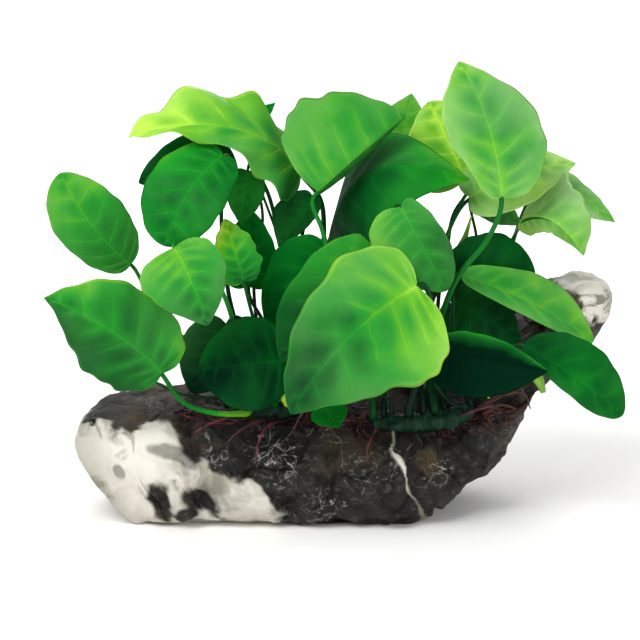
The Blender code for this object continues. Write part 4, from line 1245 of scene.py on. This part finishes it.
def rhizome_material(look):
    """Rhizome skin: dark olive green, pale and brown on the leaf scars."""
    mat, n, shader = new_material("rhizome", 0.5, Specular_IOR_Level=0.12)
    where = n.place()
    blotch = n.noise(where, 180.0, 5.0, 0.6)
    green = n.mix(n.step(blotch, 0.3, 0.7), look.shade, (0.006, 0.04, 0.018))
    scar = n.times(n.attribute("ridge"), n.step(blotch, 0.45, 0.7, 0.0, 0.4))
    colour = n.mix(scar, green, (0.06, 0.05, 0.024))
    n.feed(shader.inputs["Base Color"], colour)
    n.feed(shader.inputs["Normal"], n.bump(blotch, 0.6, 0.0008))
    return mat


def bud_material(name, low, high):
    """Bud skin: one colour running to another from foot to tip."""
    mat, n, shader = new_material(name, 0.4, Specular_IOR_Level=0.5)
    where = n.place()
    value = n.add(n.attribute("glow"), n.centred(n.noise(where, 300.0), 0.3))
    n.feed(shader.inputs["Base Color"], n.mix(n.step(value, 0.1, 0.9), low, high))
    n.feed(shader.inputs["Normal"], n.bump(n.noise(where, 500.0), 0.4, 0.0004))
    return mat


# ---------------------------------------------------------------- operators
def grid_uv(points):
    """U round each ring and V along the rings, both 0..1."""
    rows, around = points.shape[:2]
    return np.stack(np.meshgrid(np.linspace(0, 1, around), np.linspace(0, 1, rows)), axis=-1)


def make(name, parts, materials, slot, *nodes):
    """Builds a piece and rides it on the object's one body, for the nodes it stands for."""
    obj = build(name, parts, materials)
    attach(obj, "root")
    if nodes:
        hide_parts(*nodes)


def skin(points, layers):
    """A part for build(): points with a plain UV map, value layers and the first material."""
    return points, grid_uv(points), layers, 0


class ANUBIAS_OT_stone(bpy.types.Operator):
    """Build the stone with its quartz bands"""
    bl_idname = "anubias.stone"
    bl_label = "Stone"

    def execute(self, context):
        look = context.scene.anubias_stone
        points, layers = stone_surface(look.relief)
        made["surface"] = StoneSurface(points)
        shell = close_ends(points)
        rows = ([0] * len(CAP_STEPS) + list(range(STONE_ROWS))
                + [STONE_ROWS - 1] * len(CAP_STEPS))
        layers = {key: value[rows] for key, value in layers.items()}
        make("stone_rock", [skin(shell, layers)], [stone_material(look)], "stone", "stone")
        return {"FINISHED"}


class ANUBIAS_OT_rhizomes(bpy.types.Operator):
    """Build the three rhizomes with their ringed leaf scars"""
    bl_idname = "anubias.rhizomes"
    bl_label = "Rhizomes"

    def execute(self, context):
        mat = rhizome_material(context.scene.anubias_leaf)
        for seed, (name, (axis, radii)) in enumerate(RHIZOMES.items()):
            node = "rhizome_" + name
            make(node + "_skin", [skin(*rhizome_shell(axis, radii, 81 + seed))], [mat],
                 "rhizome", node)
        return {"FINISHED"}


class ANUBIAS_OT_leaves(bpy.types.Operator):
    """Build every leaf: its veined blade, and the petiole that carries it"""
    bl_idname = "anubias.leaves"
    bl_label = "Leaves"

    def execute(self, context):
        look = context.scene.anubias_leaf
        veins = vein_group()
        skins = {tone: leaf_material("leaf_" + tone, look, veins, *strengths)
                 for tone, strengths in TONES.items()}
        stem = stem_material(look)
        for leaf in LEAVES:
            make(leaf.name + "_fresh", [(*blade_shell(leaf, look), 0), (*petiole_shell(leaf), 1)],
                 [skins[leaf.tone], stem], "leaf_" + leaf.tone, leaf.name)
        return {"FINISHED"}


class ANUBIAS_OT_roots(bpy.types.Operator):
    """Build the main roots and the clusters of fine roots on the stone"""
    bl_idname = "anubias.roots"
    bl_label = "Roots"

    def execute(self, context):
        look = context.scene.anubias_root
        mat = root_material(look)
        for seed, (name, points, radius) in enumerate(ROOTS):
            radii = [radius * share for share in ROOT_TAPER]
            ring = tube(points, radii, 60, 12, wobble=0.22, seed=90 + seed)
            tint = np.full(ring.shape[:2], (seed * 0.37) % 1.0)
            make(name + "_skin", [skin(ring, {"tint": tint})], [mat], "root", name)
        for name, *cluster in ROOT_CLUSTERS:
            parts = [skin(ring, {"tint": tint})
                     for ring, tint in fine_roots(cluster, look, made["surface"])]
            make(name, parts, [mat], "root")
        return {"FINISHED"}


class ANUBIAS_OT_shoots(bpy.types.Operator):
    """Build the buds and the rolled young leaves"""
    bl_idname = "anubias.shoots"
    bl_label = "Buds and shoots"

    def execute(self, context):
        look = context.scene.anubias_leaf
        green = bud_material("bud_green", look.fresh, look.lime)
        purple = bud_material("bud_purple", (0.012, 0.006, 0.012), (0.09, 0.03, 0.06))
        for seed, (name, points, radii, glow) in enumerate(SHOOTS):
            ring = tube(points, radii, 70, 16, wobble=0.12, seed=110 + seed)
            tint = np.linspace(*glow, len(ring))[:, None]
            make(name + "_skin", [skin(ring, {"glow": tint})],
                 [purple if "purple" in name else green], "bud", name)
        return {"FINISHED"}


def aimed(name, data, place):
    """A lamp or camera at a place, turned to the plant."""
    obj = bpy.data.objects.new(name, data)
    obj.location = place
    obj.rotation_euler = (Vector(AIM) - place).to_track_quat("-Z", "Y").to_euler()
    bpy.context.scene.collection.objects.link(obj)
    return obj


class ANUBIAS_OT_stage(bpy.types.Operator):
    """Set the floor, the lights, the sky and the camera"""
    bl_idname = "anubias.stage"
    bl_label = "Stage"

    def execute(self, context):
        scene = context.scene
        look = scene.anubias_stage
        mat, n, shader = new_material("floor", 0.9)
        shader.inputs["Base Color"].default_value = (*look.floor, 1.0)
        shader.inputs["Emission Color"].default_value = (1, 1, 1, 1)
        distance = n.fed("ShaderNodeVectorMath", {0: n.place()}, operation="LENGTH")
        n.feed(shader.inputs["Emission Strength"],
               n.step(distance.outputs["Value"], 0.15, 0.9, 0.0, 0.5))
        corners = [(x * FLOOR_REACH, y * FLOOR_REACH, 0)
                   for x, y in ((-1, -1), (1, -1), (1, 1), (-1, 1))]
        mesh = bpy.data.meshes.new("floor")
        mesh.from_pydata(corners, [], [(0, 1, 2, 3)])
        mesh.materials.append(mat)
        floor = bpy.data.objects.new("floor", mesh)
        scene.collection.objects.link(floor)

        world = bpy.data.worlds.new("even_sky")
        world.use_nodes = True
        sky = Nodes(world.node_tree)
        background = world.node_tree.nodes["Background"]
        background.inputs["Color"].default_value = (1, 1, 1, 1)
        seen = sky.node("ShaderNodeLightPath").outputs["Is Camera Ray"]
        sky.feed(background.inputs["Strength"], sky.step(seen, 0.0, 1.0, look.sky, 1.0))
        scene.world = world
        for name, place, size, share in LAMPS:
            lamp = bpy.data.lights.new(name, "AREA")
            lamp.energy = look.key * share
            lamp.size = size
            aimed(name, lamp, Vector(place))

        camera = bpy.data.cameras.new("camera")
        camera.lens = LENS
        camera.clip_end = 50.0
        tilt = math.radians(CAMERA_ELEVATION)
        back = Vector((0, -math.cos(tilt), math.sin(tilt)))
        scene.camera = aimed("camera", camera, Vector(AIM) + back * CAMERA_DISTANCE)
        scene.view_settings.view_transform = "Standard"
        return {"FINISHED"}


class ANUBIAS_PT_panel(bpy.types.Panel):
    """Lists the settings and the steps"""
    bl_label = "Anubias on Stone"
    bl_idname = "ANUBIAS_PT_panel"
    bl_space_type = "VIEW_3D"
    bl_region_type = "UI"
    bl_category = "Anubias"

    def draw(self, context):
        for key, kind in SETTINGS.items():
            box = self.layout.box()
            for prop in kind.__annotations__:
                box.prop(getattr(context.scene, key), prop)
        for step in STEPS:
            self.layout.operator(step.bl_idname)


SETTINGS = {
    "anubias_stone": StoneSettings,
    "anubias_leaf": LeafSettings,
    "anubias_root": RootSettings,
    "anubias_stage": StageSettings,
}
STEPS = (ANUBIAS_OT_stone, ANUBIAS_OT_rhizomes, ANUBIAS_OT_leaves, ANUBIAS_OT_roots,
         ANUBIAS_OT_shoots, ANUBIAS_OT_stage)


def register():
    """Adds the settings, the steps and the panel."""
    for kind in (*SETTINGS.values(), *STEPS, ANUBIAS_PT_panel):
        bpy.utils.register_class(kind)
    for key, kind in SETTINGS.items():
        setattr(bpy.types.Scene, key, bpy.props.PointerProperty(type=kind))


def unregister():
    """Takes them away again."""
    for key in SETTINGS:
        delattr(bpy.types.Scene, key)
    for kind in reversed((*SETTINGS.values(), *STEPS, ANUBIAS_PT_panel)):
        bpy.utils.unregister_class(kind)


def main():
    """Runs every step in order."""
    register()
    for step in STEPS:
        area, name = step.bl_idname.split(".")
        getattr(getattr(bpy.ops, area), name)()


if __name__ == "__main__":
    main()
